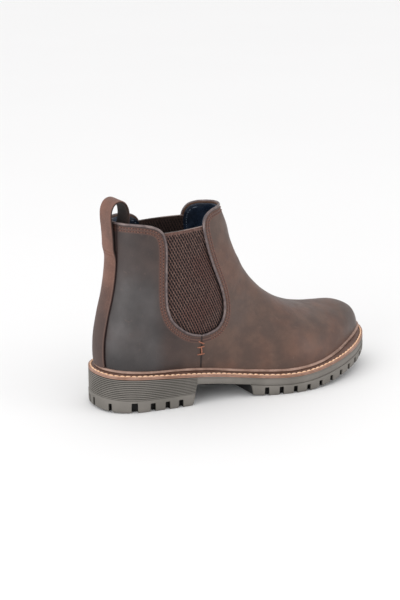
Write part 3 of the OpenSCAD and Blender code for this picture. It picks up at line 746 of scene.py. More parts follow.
def make_gussets():
    outline = gusset_outline(5.0)
    dense = []
    for a, b in zip(outline, np.roll(outline, -1, axis=0)):
        n = max(int(np.linalg.norm(b - a) / 0.9), 1)
        dense += [a + (b - a) * k / n for k in range(n)]
    dense = np.array(dense)
    if not anticlockwise(dense):
        dense = dense[::-1].copy()
    step = KNIT_STEP
    lo, hi = dense.min(0), dense.max(0)
    gx, gz = np.arange(lo[0], hi[0], step), np.arange(lo[1], hi[1], step)
    xx, zz = np.meshgrid(gx, gz)
    pts = np.stack([xx.ravel(), zz.ravel()], 1)
    pts = pts[inside(dense, pts)]
    pts = pts[distance(pts, dense, True) > step * 0.6]
    tris = triangles(dense, pts)
    xz = np.concatenate([dense, pts])
    slope = (GUSSET_TOP[1, 1] - GUSSET_TOP[0, 1]) / (GUSSET_TOP[1, 0] - GUSSET_TOP[0, 0])
    below = GUSSET_TOP[0, 1] + slope * (xz[:, 0] - GUSSET_TOP[0, 0]) - xz[:, 1]
    inner = gusset_outline(0.0)
    free = np.where(inside(inner, xz), distance(xz, inner[:-2]), 0.0)
    height, pit = gusset_relief(xz, below)
    bulge = GUSSET_BULGE * (1 - np.exp(-(free / 7.0) ** 2)) * np.clip(0.35 + below / 14.0, 0, 1)
    shade = np.exp(-free / 1.7)
    for side, word in SIDES:
        ua = find(xz, side)
        lip = 0.55 * np.exp(-(np.clip(below, 0, None) / 0.9) ** 2)
        outer = GUSSET_OUT + bulge + height + lip
        inn = GUSSET_OUT - GUSSET_T + bulge - 0.45 * height - lip
        top, bottom = skin(ua, outer), skin(ua, inn)
        m, n = len(xz), len(dense)
        faces = shell_faces(tris, m, n)
        obj = build("gusset_" + word, np.concatenate([top, bottom]), faces, sharp=80, attributes={
            "pit": np.tile(pit, 2), "hem": np.tile(np.clip(1 - below / 2.6, 0, 1), 2),
            "shade": np.concatenate([shade, 0.5 * shade]),
            "outer": np.concatenate([np.ones(m), np.zeros(m)])})
        upper["gusset_" + word] = outward(obj)


make_gussets()


# ---- Stitching on the upper ----
def side_row(line, side, lo, hi):
    """Line of stitches from a side-view line, between two shares of its length."""
    ua = even(find(line, side), 0.6)
    n = len(ua)
    ua = ua[int(lo * n):max(int(hi * n), int(lo * n) + 3)]
    return skin(ua, np.full(len(ua), 0.02)), ups_at(ua)


STITCH_DROPS = (3.0, 5.8)
STITCH_L, STITCH_GAP, STITCH_R = 1.9, 0.9, 0.44


def edge_rows(name, line, drops, lo, hi):
    parts = []
    for side in (-1, 1):
        for drop in drops:
            pts, ups = side_row(beside(line, -drop), side, lo, hi)
            parts += stitch_row(pts, ups, STITCH_L, STITCH_GAP, STITCH_R)
    return joined(name, parts, sharp=70)


upper["quarter_stitching"] = edge_rows("quarter_stitching", QUARTER_LINE, STITCH_DROPS, 0.075, 0.93)
upper["vamp_stitching"] = edge_rows("vamp_stitching", VAMP_LINE, STITCH_DROPS, 0.06, 0.995)

TACKS = [
    [[-59, 59], [-52.5, 55.5]], [[-60, 53], [-52, 53]], [[-55.8, 53], [-55.2, 46]], [[-60, 46], [-52, 46]]]
for side, word in SIDES:
    parts = []
    for a, b in TACKS:
        t = np.linspace(0, 1, 9)
        ua = find(np.array(a) + (np.array(b, float) - a) * t[:, None], side)
        arch = np.sin(PI * t) ** 0.5
        lift = -0.3 + 0.75 * arch
        parts.append(tube_mesh(skin(ua, lift), ups_at(ua), 0.36 + 0.30 * arch, 10))
    upper["seam_tack_" + word] = outward(joined("seam_tack_" + word, parts, sharp=70))


# ---- Back strap and pull loop, one band ----
STRAP_HALF, STRAP_FLAT, STRAP_EDGE = STRAP_W / 2, 9.6, 1.4
STRAP_CUP, STRAP_PLY = 0.8, STRAP_T / 2
STRAP_JOIN = 150
STRAP_FREE, STRAP_FREE_OVER = 136, 16.0


def strap_row(u, x, z, ys):
    """Middle of the band across its width where it lies on the boot, and its outward directions."""
    s = sections(np.array([u]))[0]
    w = np.where(ys < 0, s[4], s[5])
    a = np.sign(ys) * np.arcsin(np.clip((np.abs(ys) / w) ** (s[8] / 2), 0, 1))
    ua = np.stack([np.full(len(ys), u), a], 1)
    nrm = ups_at(ua)
    mix = np.clip((z - STRAP_FREE) / STRAP_FREE_OVER, 0, 1)
    mix = mix * mix * (3 - 2 * mix)
    cx = np.interp(z, [STRAP_FREE, 146, STRAP_JOIN], [x - STRAP_PLY, -132.6, -132.5])
    flat = np.stack(
        [np.full(len(ys), cx) + STRAP_CUP * (ys / STRAP_HALF) ** 2, ys, np.full(len(ys), z)], 1)
    mid = (form_at(ua) + nrm * STRAP_PLY) * (1 - mix) + flat * mix
    ups = nrm * (1 - mix) + np.array([-1.0, 0.0, 0.0]) * mix
    return mid, ups / np.linalg.norm(ups, axis=1, keepdims=True)


def make_strap():
    low = height_line(np.array([0.0]), WELT_T + RAND_H + 0.1)[0, 0]
    us = np.linspace(low, 0.0, 700)
    back = surface(us, np.zeros(len(us)))
    keep = back[:, 2] < 156
    us, back = us[keep], back[keep]
    loop = curve(LOOP_LINE, 14)
    start = np.argmax(loop[:, 1] > STRAP_JOIN)
    rows = []
    ys = np.concatenate([np.linspace(-STRAP_HALF, -STRAP_FLAT, 5), np.linspace(-9.0, 9.0, 15),
                         np.linspace(STRAP_FLAT, STRAP_HALF, 5)])
    edge = np.clip((np.abs(ys) - STRAP_FLAT) / STRAP_EDGE, 0, 1)
    round_off = np.sqrt(np.clip(1 - edge ** 2, 0, 1))
    samples = resample(np.stack([back[:, 0], back[:, 2], us], 1), int((STRAP_JOIN - back[0, 2]) / 2.0))
    for x, z, u in samples:
        if z > STRAP_JOIN:
            break
        rows.append(strap_row(u, x, z, ys))
    line = resample(loop[start:], 62)
    t = frames(line)
    for k, (c, d) in enumerate(zip(line, t)):
        nf = np.array([-d[1], 0.0, d[0]])
        share = k / (len(line) - 1)
        bow = STRAP_CUP * (1 - share * 4) if share < 0.25 else 0.0
        bow = bow + 2.2 * np.clip((share - 0.72) / 0.2, 0, 1)
        mid = np.stack([c[0] + bow * (ys / STRAP_HALF) ** 2, ys, np.full(len(ys), c[1])], 1)
        rows.append((mid, np.tile(nf, (len(ys), 1))))
    outer, inner = [], []
    for mid, nn in rows:
        thick = STRAP_PLY * np.maximum(round_off, 0.08)[:, None]
        outer.append(mid + nn * thick)
        inner.append(mid - nn * thick)
    n, m = len(ys), len(rows)
    pts = np.concatenate([np.array(outer).reshape(-1, 3), np.array(inner).reshape(-1, 3)])
    base = n * m
    faces = []
    for i in range(m - 1):
        for j in range(n - 1):
            a, b, c, d = i * n + j, i * n + j + 1, (i + 1) * n + j + 1, (i + 1) * n + j
            faces.append([a, b, c, d])
            faces.append([d + base, c + base, b + base, a + base])
        for j in (0, n - 1):
            faces.append([i * n + j, (i + 1) * n + j, (i + 1) * n + j + base, i * n + j + base])
    for i in (0, m - 1):
        for j in range(n - 1):
            faces.append([i * n + j, i * n + j + 1, i * n + j + 1 + base, i * n + j + base])
    edge_d = np.tile(np.tile(STRAP_HALF - np.abs(ys), m), 2)
    side_flag = np.concatenate([np.ones(base), np.zeros(base)])
    return outward(build("back_strap", pts, faces, sharp=60, attributes={"edge": edge_d, "outer": side_flag}))


upper["back_strap"] = make_strap()


def strap_stitching():
    parts = []
    for z in (143.2, 146.0):
        u = np.interp(-z, -FORM[:, 1], np.arange(len(FORM)))
        x = form_at(np.array([[u, 0.0]]))[0, 0]
        line = strap_row(u, x, z, np.linspace(-8.6, 8.6, 30))[0] + np.array([-1.12, 0, 0])
        parts += stitch_row(line, np.tile([-1.0, 0, 0], (30, 1)), 1.5, STITCH_GAP, 0.34)
    return joined("strap_stitching", parts, sharp=70)


upper["strap_stitching"] = strap_stitching()

# ---- Bottom ----
OUTLINE = resample(np.concatenate([ring_curve(SOLE_OUTLINE, 12), SOLE_OUTLINE[:1]]), 641)[:-1]
SPACING = float(np.linalg.norm(np.roll(OUTLINE, -1, axis=0) - OUTLINE, axis=1).mean())


def ring_normals(p, rounds):
    """Directions into a ring, evened out over its neighbours."""
    t = np.roll(p, -1, axis=0) - np.roll(p, 1, axis=0)
    t /= np.linalg.norm(t, axis=1, keepdims=True)
    n = np.stack([-t[:, 1], t[:, 0]], 1)
    for _ in range(rounds):
        n = (np.roll(n, 1, axis=0) + n + np.roll(n, -1, axis=0)) / 3
    return n


OUTLINE_IN = ring_normals(OUTLINE, 12)
OUTLINE_IN /= np.linalg.norm(OUTLINE_IN, axis=1, keepdims=True)


def outline_at(inset):
    return OUTLINE + OUTLINE_IN * np.asarray(inset, float).reshape(-1, 1)


def loops(rings, closed=False):
    """Faces between closed rings of equal length."""
    n = len(rings[0])
    faces = []
    last = len(rings) if closed else len(rings) - 1
    for r in range(last):
        a, b = r * n, ((r + 1) % len(rings)) * n
        for i in range(n):
            j = (i + 1) % n
            faces.append([a + i, a + j, b + j, b + i])
    return np.concatenate(rings), faces


def solid_of(name, rings, low, high, step, **kw):
    """Solid from rings, closed below and above by curved caps; low and high give the caps' heights."""
    pts, faces = loops(rings)
    n = len(rings[0])
    pts = [pts]
    base = n * len(rings)
    for start, fn in ((0, low), ((len(rings) - 1) * n, high)):
        poly = rings[0 if start == 0 else -1][:, :2]
        order = np.arange(n) if anticlockwise(poly) else np.arange(n)[::-1]
        extra = grid_inside(poly[order], step, step * 0.6)
        tris = triangles(poly[order], extra)
        index = np.concatenate([order + start, np.arange(len(extra)) + base])
        faces += [[int(index[i]) for i in t] for t in tris]
        pts.append(np.column_stack([extra, fn(extra[:, 0], extra[:, 1])]))
        base += len(extra)
    return outward(build(name, np.concatenate(pts), faces, **kw))


def ring3(xy, z):
    return np.column_stack([xy, z])


def make_rand():
    """Thin strip that lies on the welt around the foot of the upper."""
    ang = np.concatenate([np.linspace(0, PI, 1500), np.linspace(-PI, 0, 1500)[1:-1]])
    base = height_line(ang, WELT_T + 0.1)
    base = even(np.concatenate([base, base[:1]]), 1.15)[:-1]
    ang = base[:, 1]
    rings, rise = [], []
    profile = [(-0.4, 0.0), (0.9, 0.0), (1.65, 0.15), (1.9, 0.7), (1.8, 1.35), (1.45, 2.0), (0.95, 2.45),
               (0.35, 2.6), (-0.4, 2.55)]
    for out, height in profile:
        rise.append(np.full(len(base), height / RAND_H))
        p = on_form(height_line(base[:, 1], WELT_T + height, max(out, 0.0)), out)
        p[:, 2] = welt_z(p[:, 0]) + WELT_T + height
        rings.append(p)
    pts, faces = loops(rings, closed=True)
    return outward(build("rand", pts, faces, sharp=60, attributes={"rise": np.concatenate(rise)}))


upper["rand"] = make_rand()


def make_welt():
    run = np.arange(len(OUTLINE)) * SPACING
    edge = 0.12 * np.sin(run / 7.3) + 0.07 * np.sin(run / 2.9 + 1)
    profile = [(0.5, 0.0, 0), (0.12, 0.25, 1), (0.0, 0.7, 1), (0.0, 1.2, 1), (0.12, 1.4, 1), (0.0, 1.6, 1),
               (0.02, 2.2, 1), (0.25, 2.65, 1), (0.7, 2.85, 0), (1.2, 2.85, 0), (1.5, 2.65, 0), (1.7, 2.1, 0),
               (3.1, 2.1, 0), (3.35, 2.8, 0), (4.0, 3.3, 0), (5.5, 4.0, 0), (9.5, 4.0, 0), (9.5, 0.0, 0),
               (5.0, 0.0, 0)]
    rings = []
    for inset, height, rough in profile:
        xy = outline_at(inset + rough * 0.25 + rough * edge * 0.6)
        rings.append(ring3(xy, welt_z(xy[:, 0]) + height))
    pts, faces = loops(rings, closed=True)
    marks = np.repeat([h / 4.0 for _, h, _ in profile], len(OUTLINE))
    groove = np.repeat([1.0 if h == 2.1 else 0.75 if i > 3.2 else 0.0 for i, h, _ in profile], len(OUTLINE))
    return outward(build("welt", pts, faces, sharp=70, attributes={"height": marks, "groove": groove}))


upper["welt"] = make_welt()


THREAD_IN, THREAD_UP, THREAD_COUNT = 2.4, 2.62, 130


def make_welt_thread():
    line = outline_at(THREAD_IN)
    line = np.concatenate([line, line[:1]])
    pts = ring3(line, welt_z(line[:, 0]) + THREAD_UP)
    dense = resample(pts, 3000)
    run = run_along(dense)
    pitch = run[-1] / THREAD_COUNT
    parts = []
    for k in range(THREAD_COUNT):
        t = np.array([0.0, 0.06, 0.16, 0.35, 0.5, 0.65, 0.84, 0.94, 1.0])
        s = k * pitch + 0.06 + t * (pitch - 0.12)
        p = np.stack([np.interp(s, run, dense[:, c]) for c in range(3)], 1)
        arch = np.sin(PI * t) ** 0.5
        p[:, 2] += -0.7 + 0.95 * arch + 0.05 * math.sin(k * 2.1)
        tangent = p[-1] - p[0]
        side = np.array([-tangent[1], tangent[0], 0]) / np.linalg.norm(tangent)
        p += side * (t[:, None] - 0.5) * 0.35
        parts.append(tube_mesh(p, np.tile([0, 0, 1.0], (len(p), 1)), 0.40 + 0.50 * arch, 8))
    return outward(joined("welt_thread", parts, sharp=70))


upper["welt_thread"] = make_welt_thread()


def clipped(x0, keep_low):
    """Indices of the outline on one side of x0, in order, starting at the cut."""
    ok = OUTLINE[:, 0] < x0 if keep_low else OUTLINE[:, 0] > x0
    starts = [i for i in range(len(OUTLINE)) if ok[i] and not ok[i - 1]]
    i = starts[0]
    res = []
    while ok[i % len(OUTLINE)]:
        res.append(i % len(OUTLINE))
        i += 1
    return np.array(res)


def cut_ring(index, inset, x_cut, z_fn, count=24):
    """Ring along the outline closed by a straight cut across the sole."""
    xy = outline_at(inset)[index]
    first, last = xy[0].copy(), xy[-1].copy()
    first[0], last[0] = x_cut, x_cut
    t = np.linspace(0, 1, count)[:, None]
    line = last + (first - last) * t
    ring = np.concatenate([xy[1:-1], line])
    return ring3(ring, z_fn(ring[:, 0]))


def breast_x(z):
    return BREAST[0][0] + (BREAST[1][0] - BREAST[0][0]) * min(1.0, z / BREAST[1][1])


HEEL = clipped(BREAST[0][0] - 0.7, True)
ARCH_ON = clipped(BREAST[1][0] + 0.7, False)
TREAD = clipped(TREAD_REAR[0][0] + 0.7, False)


def make_heel_block():
    rings, marks = [], []
    steps = [(0.0, 0.0), (0.14, -0.05), (0.50, -0.05), (0.60, 0.0), (0.70, 0.45), (0.76, 0.72), (0.92, 0.72)]
    total = [(k + f, d) for k in range(RIBS) for f, d in steps] + [(RIBS, 0.3)]
    total[0] = (0.0, 0.55)
    for f, d in total:
        share = f / RIBS
        x_cut = breast_x(HEEL_TREAD_H + share * (welt_z(-66.0) - HEEL_TREAD_H))
        rings.append(cut_ring(HEEL, 0.35 + d, x_cut,
                              lambda x: heel_top(x) + share * (welt_z(x) - heel_top(x))))
        marks.append(np.full(len(rings[0]), 1.0 if d > 0.4 else 0.0))
    obj = solid_of("heel_block", rings, lambda x, y: heel_top(x), lambda x, y: welt_z(x), CAP_STEP, sharp=35)
    groove = np.concatenate(marks)
    groove = np.concatenate([groove, np.zeros(len(obj.data.vertices) - len(groove))]).astype(np.float32)
    obj.data.attributes.new("groove", "FLOAT", "POINT").data.foreach_set("value", groove)
    return obj


upper["heel_block"] = make_heel_block()


def notch_cutters(places, w_of, h_of, depth, taper=0.25):
    """Box cutters across the edge of a tread."""
    parts = []
    for k, s in enumerate(places):
        i = int(round(s / SPACING)) % len(OUTLINE)
        p, n = OUTLINE[i], OUTLINE_IN[i]
        t = np.array([n[1], -n[0]])
        w, h = w_of(k) / 2, h_of(k, p[0])
        corners = []
        for z, ww in ((-1.0, w + taper), (h - 0.5, w), (h, w - 0.4)):
            for a, b in ((-3, -1), (depth, -1), (depth, 1), (-3, 1)):
                q = p + n * a + t * b * ww
                corners.append([q[0], q[1], z])
        faces = [[0, 1, 2, 3][::-1], [8, 9, 10, 11]]
        for r in (0, 4):
            for j in range(4):
                q = (j + 1) % 4
                faces.append([r + j, r + q, r + 4 + q, r + 4 + j])
        parts.append((np.array(corners), faces))
    return parts


def bars(specs, rise):
    """Cutters for grooves across the tread."""
    parts = []
    for x, lo, hi in specs:
        h = rise(x) + 2.6
        c = []
        for z, w in ((-1.0, 2.4), (h, 1.6)):
            for a, b in ((-1, lo), (1, lo), (1, hi), (-1, hi)):
                c.append([x + 2 + a * w, b, z])
        faces = [[3, 2, 1, 0], [4, 5, 6, 7]] + [[j, (j + 1) % 4, 4 + (j + 1) % 4, 4 + j] for j in range(4)]
        parts.append((np.array(c), faces))
    return parts


def carve(obj, parts):
    """Cuts all the boxes out of a solid at once."""
    cutter = outward(joined("cutter", parts, smooth=False))
    mod = obj.modifiers.new("cut", "BOOLEAN")
    mod.operation, mod.object, mod.solver = "DIFFERENCE", cutter, "MANIFOLD"
    bpy.context.view_layer.update()
    shape = obj.evaluated_get(bpy.context.evaluated_depsgraph_get())
    mesh = bpy.data.meshes.new_from_object(shape)
    obj.modifiers.clear()
    obj.data = mesh
    bpy.data.objects.remove(cutter, do_unlink=True)
    mesh.polygons.foreach_set("use_smooth", [True] * len(mesh.polygons))
    mesh.set_sharp_from_angle(angle=math.radians(32))
    return obj


LENGTH_ROUND = SPACING * len(OUTLINE)


def make_heel_tread():
    profile = ((1.1, 0.0), (0.45, 0.04), (0.2, 0.12), (0.05, 0.58), (0.0, 0.91), (0.25, 0.97), (0.8, 0.996))
    rings = [
        cut_ring(HEEL, inset, breast_x(f * HEEL_TREAD_H), lambda x: heel_low(x) * (1 - f) + heel_top(x) * f)
        for inset, f in profile]
    obj = solid_of("heel_tread", rings, lambda x, y: heel_low(x), lambda x, y: heel_top(x) - 0.05, 6.0)
    places = [n[0] for n in HEEL_NOTCHES] + [LENGTH_ROUND - n[0] - 3 for n in HEEL_NOTCHES]
    table = HEEL_NOTCHES + HEEL_NOTCHES
    parts = notch_cutters(
        places, lambda k: NOTCH_W * table[k][1], lambda k, x: NOTCH_H + table[k][2], NOTCH_D)
    parts += bars([(-84, -24, 24), (-104, -24, 24), (-124, -18, 18)], lambda x: 0.0)
    return carve(obj, parts)


upper["heel_tread"] = make_heel_tread()


def make_midsole():
    profile = ((1.5, 0.0), (0.6, 0.03), (0.25, 0.12), (0.12, 0.5), (0.12, 0.79), (0.42, 0.82), (0.12, 0.85),
               (0.2, 0.93), (0.5, 0.975), (0.9, 1.0))
    rings = [
        cut_ring(ARCH_ON, inset + 0.12, BREAST[1][0] + 0.05, lambda x: welt_z(x) - MIDSOLE_T * (1 - f) - 0.02)
        for inset, f in profile]
    return solid_of(
        "midsole", rings, lambda x, y: welt_z(x) - MIDSOLE_T, lambda x, y: welt_z(x) - 0.02,
        CAP_STEP, sharp=40)


upper["midsole"] = make_midsole()


def forepart_top(x):
    return welt_z(x) - MIDSOLE_T - 0.03


def make_forepart():
    profile = ((1.3, 0.0), (0.6, 0.035), (0.3, 0.12), (0.05, 0.55), (0.0, 0.9), (0.3, 0.96), (1.5, 1.0))
    rings = []
    for inset, f in profile:
        x_cut = TREAD_REAR[0][0] + (TREAD_REAR[1][0] - TREAD_REAR[0][0]) * f
        rings.append(cut_ring(TREAD, inset, x_cut, lambda x: ground_z(x) * (1 - f) + forepart_top(x) * f))
    obj = solid_of(
        "outsole_forepart", rings, lambda x, y: ground_z(x), lambda x, y: forepart_top(x), CAP_STEP)
    near = np.where((OUTLINE[:, 1] < 2) & (np.abs(OUTLINE[:, 0] - 8) < 1.5))[0][0] * SPACING
    places = [near - 2.4 + k * NOTCH_PITCH for k in range(24)]
    parts = notch_cutters(
        places, lambda k: NOTCH_W,
        lambda k, x: float(ground_z(max(x, 6.0)) + NOTCH_H + np.interp(x, *NOTCH_RISE)), NOTCH_D)
    parts += bars([(x, -24 if x > 80 else -34, 28 if x > 80 else 30) for x in (14, 38, 62, 86, 108)],
                  lambda x: float(ground_z(x)))
    return carve(obj, parts)


upper["outsole_forepart"] = make_forepart()


def mark_depth(obj):
    """Distance of each point of a sole piece from the sole's edge."""
    mesh = obj.data
    co = np.empty(len(mesh.vertices) * 3)
    mesh.vertices.foreach_get("co", co)
    xy = co.reshape(-1, 3)[:, :2] / MM - [0, Y_SHIFT]
    layer = mesh.attributes.new("depth", "FLOAT", "POINT")
    layer.data.foreach_set("value", distance(xy, OUTLINE, True).astype(np.float32))


for key in ("heel_block", "heel_tread", "midsole", "outsole_forepart"):
    mark_depth(upper[key])


def make_footbed():
    low = WELT_T + BOARD_T
    ang = np.concatenate([np.linspace(0, PI, 900), np.linspace(-PI, 0, 900)[1:-1]])
    line = height_line(ang, low + FOOTBED_T)
    p = form_at(line)
    p = resample(np.concatenate([p, p[:1]]), 301)[:-1]
    if not anticlockwise(p):
        p = p[::-1].copy()
    n = ring_normals(p[:, :2], 8)
    rings = []
    for inset, h in ((6.3, 0.05), (5.3, 0.6), (4.8, 2.4), (4.9, 3.4), (5.5, 3.95), (6.6, 4.0)):
        xy = p[:, :2] + n * inset
        rings.append(ring3(xy, welt_z(xy[:, 0]) + low + h))

    def top(x, y):
        dish = np.exp(-((x + 105) / 28) ** 2 - (y / 24) ** 2)
        return welt_z(x) + low + FOOTBED_T - 0.9 * dish
    return solid_of("footbed", rings, lambda x, y: welt_z(x) + low + 0.05, top, CAP_STEP, sharp=60)


upper["footbed"] = make_footbed()


# ---- Materials ----
def srgb(text):
    v = [int(text[i:i + 2], 16) / 255 for i in (0, 2, 4)]
    return tuple(c / 12.92 if c <= 0.04045 else ((c + 0.055) / 1.055) ** 2.4 for c in v) + (1.0,)


class Look:
    """A material and short calls for its nodes."""

    def __init__(self, name, rough=0.5, **fixed):
        self.mat = bpy.data.materials.new(name)
        self.mat.use_nodes = True
        self.tree = self.mat.node_tree
        self.shader = self.tree.nodes["Principled BSDF"]
        self.shader.inputs["Roughness"].default_value = rough
        for key, value in fixed.items():
            self.shader.inputs[key.replace("_", " ")].default_value = value
        self.coords = self.node("ShaderNodeTexCoord").outputs["Object"]
        self.bump_out = None

    def node(self, kind, **props):
        n = self.tree.nodes.new(kind)
        for key, value in props.items():
            setattr(n, key, value)
        return n

    def put(self, socket, value):
        if isinstance(value, bpy.types.NodeSocket):
            self.tree.links.new(value, socket)
        else:
            socket.default_value = value

    def stretch(self, x, y, z):
        n = self.node("ShaderNodeMapping")
        self.put(n.inputs["Vector"], self.coords)
        n.inputs["Scale"].default_value = (x, y, z)
        return n.outputs[0]

    def noise(self, scale, detail=3.0, rough=0.55, at=None, distortion=0.0):
        n = self.node("ShaderNodeTexNoise")
        self.put(n.inputs["Vector"], at or self.coords)
        n.inputs["Scale"].default_value = scale
        n.inputs["Detail"].default_value = detail
        n.inputs["Roughness"].default_value = rough
        n.inputs["Distortion"].default_value = distortion
        return n.outputs["Fac"]

    def cells(self, scale, feature="F1", at=None):
        n = self.node("ShaderNodeTexVoronoi", feature=feature)
        self.put(n.inputs["Vector"], at or self.coords)
        n.inputs["Scale"].default_value = scale
        return n.outputs["Distance"]

    def axis(self, k):
        n = self.node("ShaderNodeSeparateXYZ")
        self.put(n.inputs[0], self.coords)
        return n.outputs[k]

    def attribute(self, name):
        return self.node("ShaderNodeAttribute", attribute_name=name).outputs["Fac"]

    def inner(self):
        """One on a panel's inner face, nought on its outer."""
        return self.calc("SUBTRACT", 1.0, self.attribute("outer"))

    def off(self, value, middle):
        return self.calc("ABSOLUTE", self.calc("SUBTRACT", value, middle))

    def span(self, value, a, b, c=0.0, d=1.0, smooth=True):
        n = self.node("ShaderNodeMapRange", interpolation_type="SMOOTHSTEP" if smooth else "LINEAR")
        self.put(n.inputs["Value"], value)
        for key, v in (("From Min", a), ("From Max", b), ("To Min", c), ("To Max", d)):
            n.inputs[key].default_value = v
        return n.outputs[0]

    def calc(self, op, a, b=0.0):
        n = self.node("ShaderNodeMath", operation=op)
        self.put(n.inputs[0], a)
        self.put(n.inputs[1], b)
        return n.outputs[0]

    def times(self, a, b):
        return self.calc("MULTIPLY", a, b)

    def mix(self, fac, a, b):
        n = self.node("ShaderNodeMix", data_type="RGBA")
        self.put(n.inputs[0], fac)
        self.put(n.inputs[6], srgb(a) if isinstance(a, str) else a)
        self.put(n.inputs[7], srgb(b) if isinstance(b, str) else b)
        return n.outputs[2]

    def tint(self, base, fac, colour, share):
        """A colour laid over the base by a share of a factor."""
        return self.mix(self.times(fac, share), base, colour)

    def mottle(self, pattern, a, b):
        return self.mix(self.span(pattern, 0.35, 0.65), a, b)

    def bump(self, height, depth):
        """Adds relief of a depth in millimetres."""
        n = self.node("ShaderNodeBump")
        n.inputs["Strength"].default_value = 1.0
        n.inputs["Distance"].default_value = depth * MM
        self.put(n.inputs["Height"], height)
        if self.bump_out is not None:
            self.put(n.inputs["Normal"], self.bump_out)
        self.bump_out = n.outputs[0]
        self.put(self.shader.inputs["Normal"], self.bump_out)

    def colour(self, value):
        self.put(self.shader.inputs["Base Color"], srgb(value) if isinstance(value, str) else value)

    def roughness(self, value):
        self.put(self.shader.inputs["Roughness"], value)


def leather_look():
    m = Look("waxed_leather", 0.5, Specular_IOR_Level=0.42, Sheen_Weight=0.06, Sheen_Roughness=0.45)
    m.shader.inputs["Sheen Tint"].default_value = srgb("b8aca6")
    x, z = m.axis(0), m.axis(2)
    patch = m.span(m.noise(17, 3, 0.5, distortion=0.6), 0.42, 0.62)
    mottled = m.span(m.noise(60, 4, 0.6), 0.35, 0.7)
    warm = m.mix(mottled, "4a3830", "594338")
    red = m.mix(mottled, "5e3c2f", "704938")
    base = m.mix(m.times(patch, 0.38), warm, red)
    cool = m.mottle(m.noise(24, 3, 0.5), "2b211f", "43342f")
    quarter = m.times(m.span(x, -0.035, -0.085), m.span(m.noise(14, 3, 0.5), 0.2, 0.5, 0.6, 0.95))
    base = m.mix(quarter, base, cool)
    # painted reflection: a lighter slate grey on the heel quarter stands in for the grey sheen of the waxed
    # leather
    sheen_grey = m.mix(m.span(m.noise(30, 3, 0.5), 0.3, 0.7), "343232", "4c4949")
    heel = m.times(m.span(x, -0.088, -0.108), m.span(m.noise(22, 3, 0.5), 0.25, 0.5))
    heel = m.times(heel, m.span(z, 0.150, 0.105, 0.25, 1.0))
    toe = m.times(m.span(x, 0.085, 0.135), m.span(z, 0.075, 0.05))
    base = m.mix(m.times(heel, 0.8), base, sheen_grey)
    base = m.tint(base, toe, "423935", 0.6)
    low = m.times(m.span(z, 0.062, 0.036), m.span(x, -0.06, -0.11))
    base = m.tint(base, low, "2a2829", 0.55)
    scuff = m.span(m.noise(140, 5, 0.65, distortion=1.2), 0.60, 0.78)
    base = m.tint(base, scuff, "7d6458", 0.25)
    edge = m.attribute("edge")
    border = m.times(m.span(edge, 8.0, 6.6), m.span(edge, 1.2, 2.2))
    base = m.tint(base, border, "63443a", 0.55)
    # painted shade: dark bands along both stitch rows stand in for the shade in the dents between the
    # stitches
    for middle in STITCH_DROPS:
        base = m.mix(m.span(m.off(edge, middle), 0.95, 0.45, 0.0, 0.7), base, "2b1713")
    # painted shade: the leather just beside the folded edge is darkened where the fold meets the panel
    base = m.mix(m.span(edge, 2.0, 1.1, 0.0, 0.7), base, "241b1a")
    # painted shade: near-black along the cut seam stands in for the shade in the seam's gap
    seam = m.attribute("seam")
    base = m.mix(m.span(seam, 1.5, 0.5, 0.0, 0.92), base, "180a08")
    # dark band along the back strap's edges: partly the dark seam line there, partly painted shadow of the
    # strap standing off the quarter
    strap = m.attribute("strap")
    base = m.mix(m.span(strap, 1.5, 0.2, 0.0, 0.95), base, "1e0b09")
    base = m.mix(m.inner(), base, "5a4030")
    m.colour(base)
    m.roughness(m.calc("ADD", m.span(m.noise(45, 4, 0.6), 0.3, 0.7, 0.42, 0.56), m.times(scuff, 0.12)))
    m.bump(m.noise(900, 4, 0.6), 0.10)
    m.bump(m.cells(1300), 0.05)
    m.bump(m.noise(120, 3, 0.5), 0.22)
    return m.mat


def fold_look():
    m = Look("folded_edge", 0.4, Specular_IOR_Level=0.5)
    base = m.mottle(m.noise(300, 4, 0.6), "4c4041", "685957")
    base = m.mix(m.span(m.noise(90, 3, 0.5), 0.5, 0.72), base, "7d6d69")
    m.colour(base)
    m.roughness(m.span(m.noise(200, 3, 0.5), 0.3, 0.7, 0.34, 0.5))
    m.bump(m.noise(1100, 4, 0.6), 0.08)
    return m.mat


def strap_look():
    m = Look("strap_nubuck", 0.72, Specular_IOR_Level=0.25, Sheen_Weight=0.08, Sheen_Roughness=0.5)
    base = m.mottle(m.noise(40, 4, 0.6), "5a4037", "735145")
    base = m.mix(m.span(m.noise(700, 3, 0.6), 0.45, 0.75, 0.0, 0.5), base, "876455")
    low = m.span(m.axis(2), 0.13, 0.07)
    base = m.tint(base, low, "3c3432", 0.8)
    edge = m.attribute("edge")
    base = m.mix(m.span(edge, 1.5, 0.5, 0.0, 0.35), base, "7c6359")
    base = m.mix(m.span(edge, 0.6, 0.0, 0.0, 0.9), base, "2b1512")
    # painted shade: the inner face is painted dark for the shade inside the pull loop
    base = m.mix(m.inner(), base, "2a1d18")
    m.colour(base)
    m.bump(m.noise(1500, 4, 0.65), 0.12)
    m.bump(m.noise(160, 3, 0.5), 0.18)
    return m.mat


def gusset_look():
    m = Look("elastic_knit", 0.8, Specular_IOR_Level=0.3, Sheen_Weight=0.1, Sheen_Roughness=0.4)
    pit, hem = m.attribute("pit"), m.attribute("hem")
    yarn = m.mottle(m.noise(500, 3, 0.6), "4c352f", "6b524a")
    yarn = m.mix(m.span(m.noise(30, 2, 0.5), 0.45, 0.65, 0.0, 0.5), yarn, "5a372f")
    yarn = m.mix(m.times(hem, 0.55), yarn, "63443a")
    edge = m.span(hem, 0.78, 0.93)
    yarn = m.mix(m.times(edge, 0.85), yarn, "9c8a83")
    # painted shade: the knit's pits are painted near-black for the shade in the hollows between the yarns
    base = m.mix(m.span(pit, 0.15, 0.5), yarn, "0d0707")
    base = m.mix(m.span(m.attribute("shade"), 0.25, 0.95, 0.0, 0.9), base, "130a09")
    base = m.tint(base, m.inner(), "2b201d", 0.7)
    m.colour(base)
    m.bump(m.noise(1800, 3, 0.6, at=m.stretch(1, 1, 0.35)), 0.16)
    return m.mat


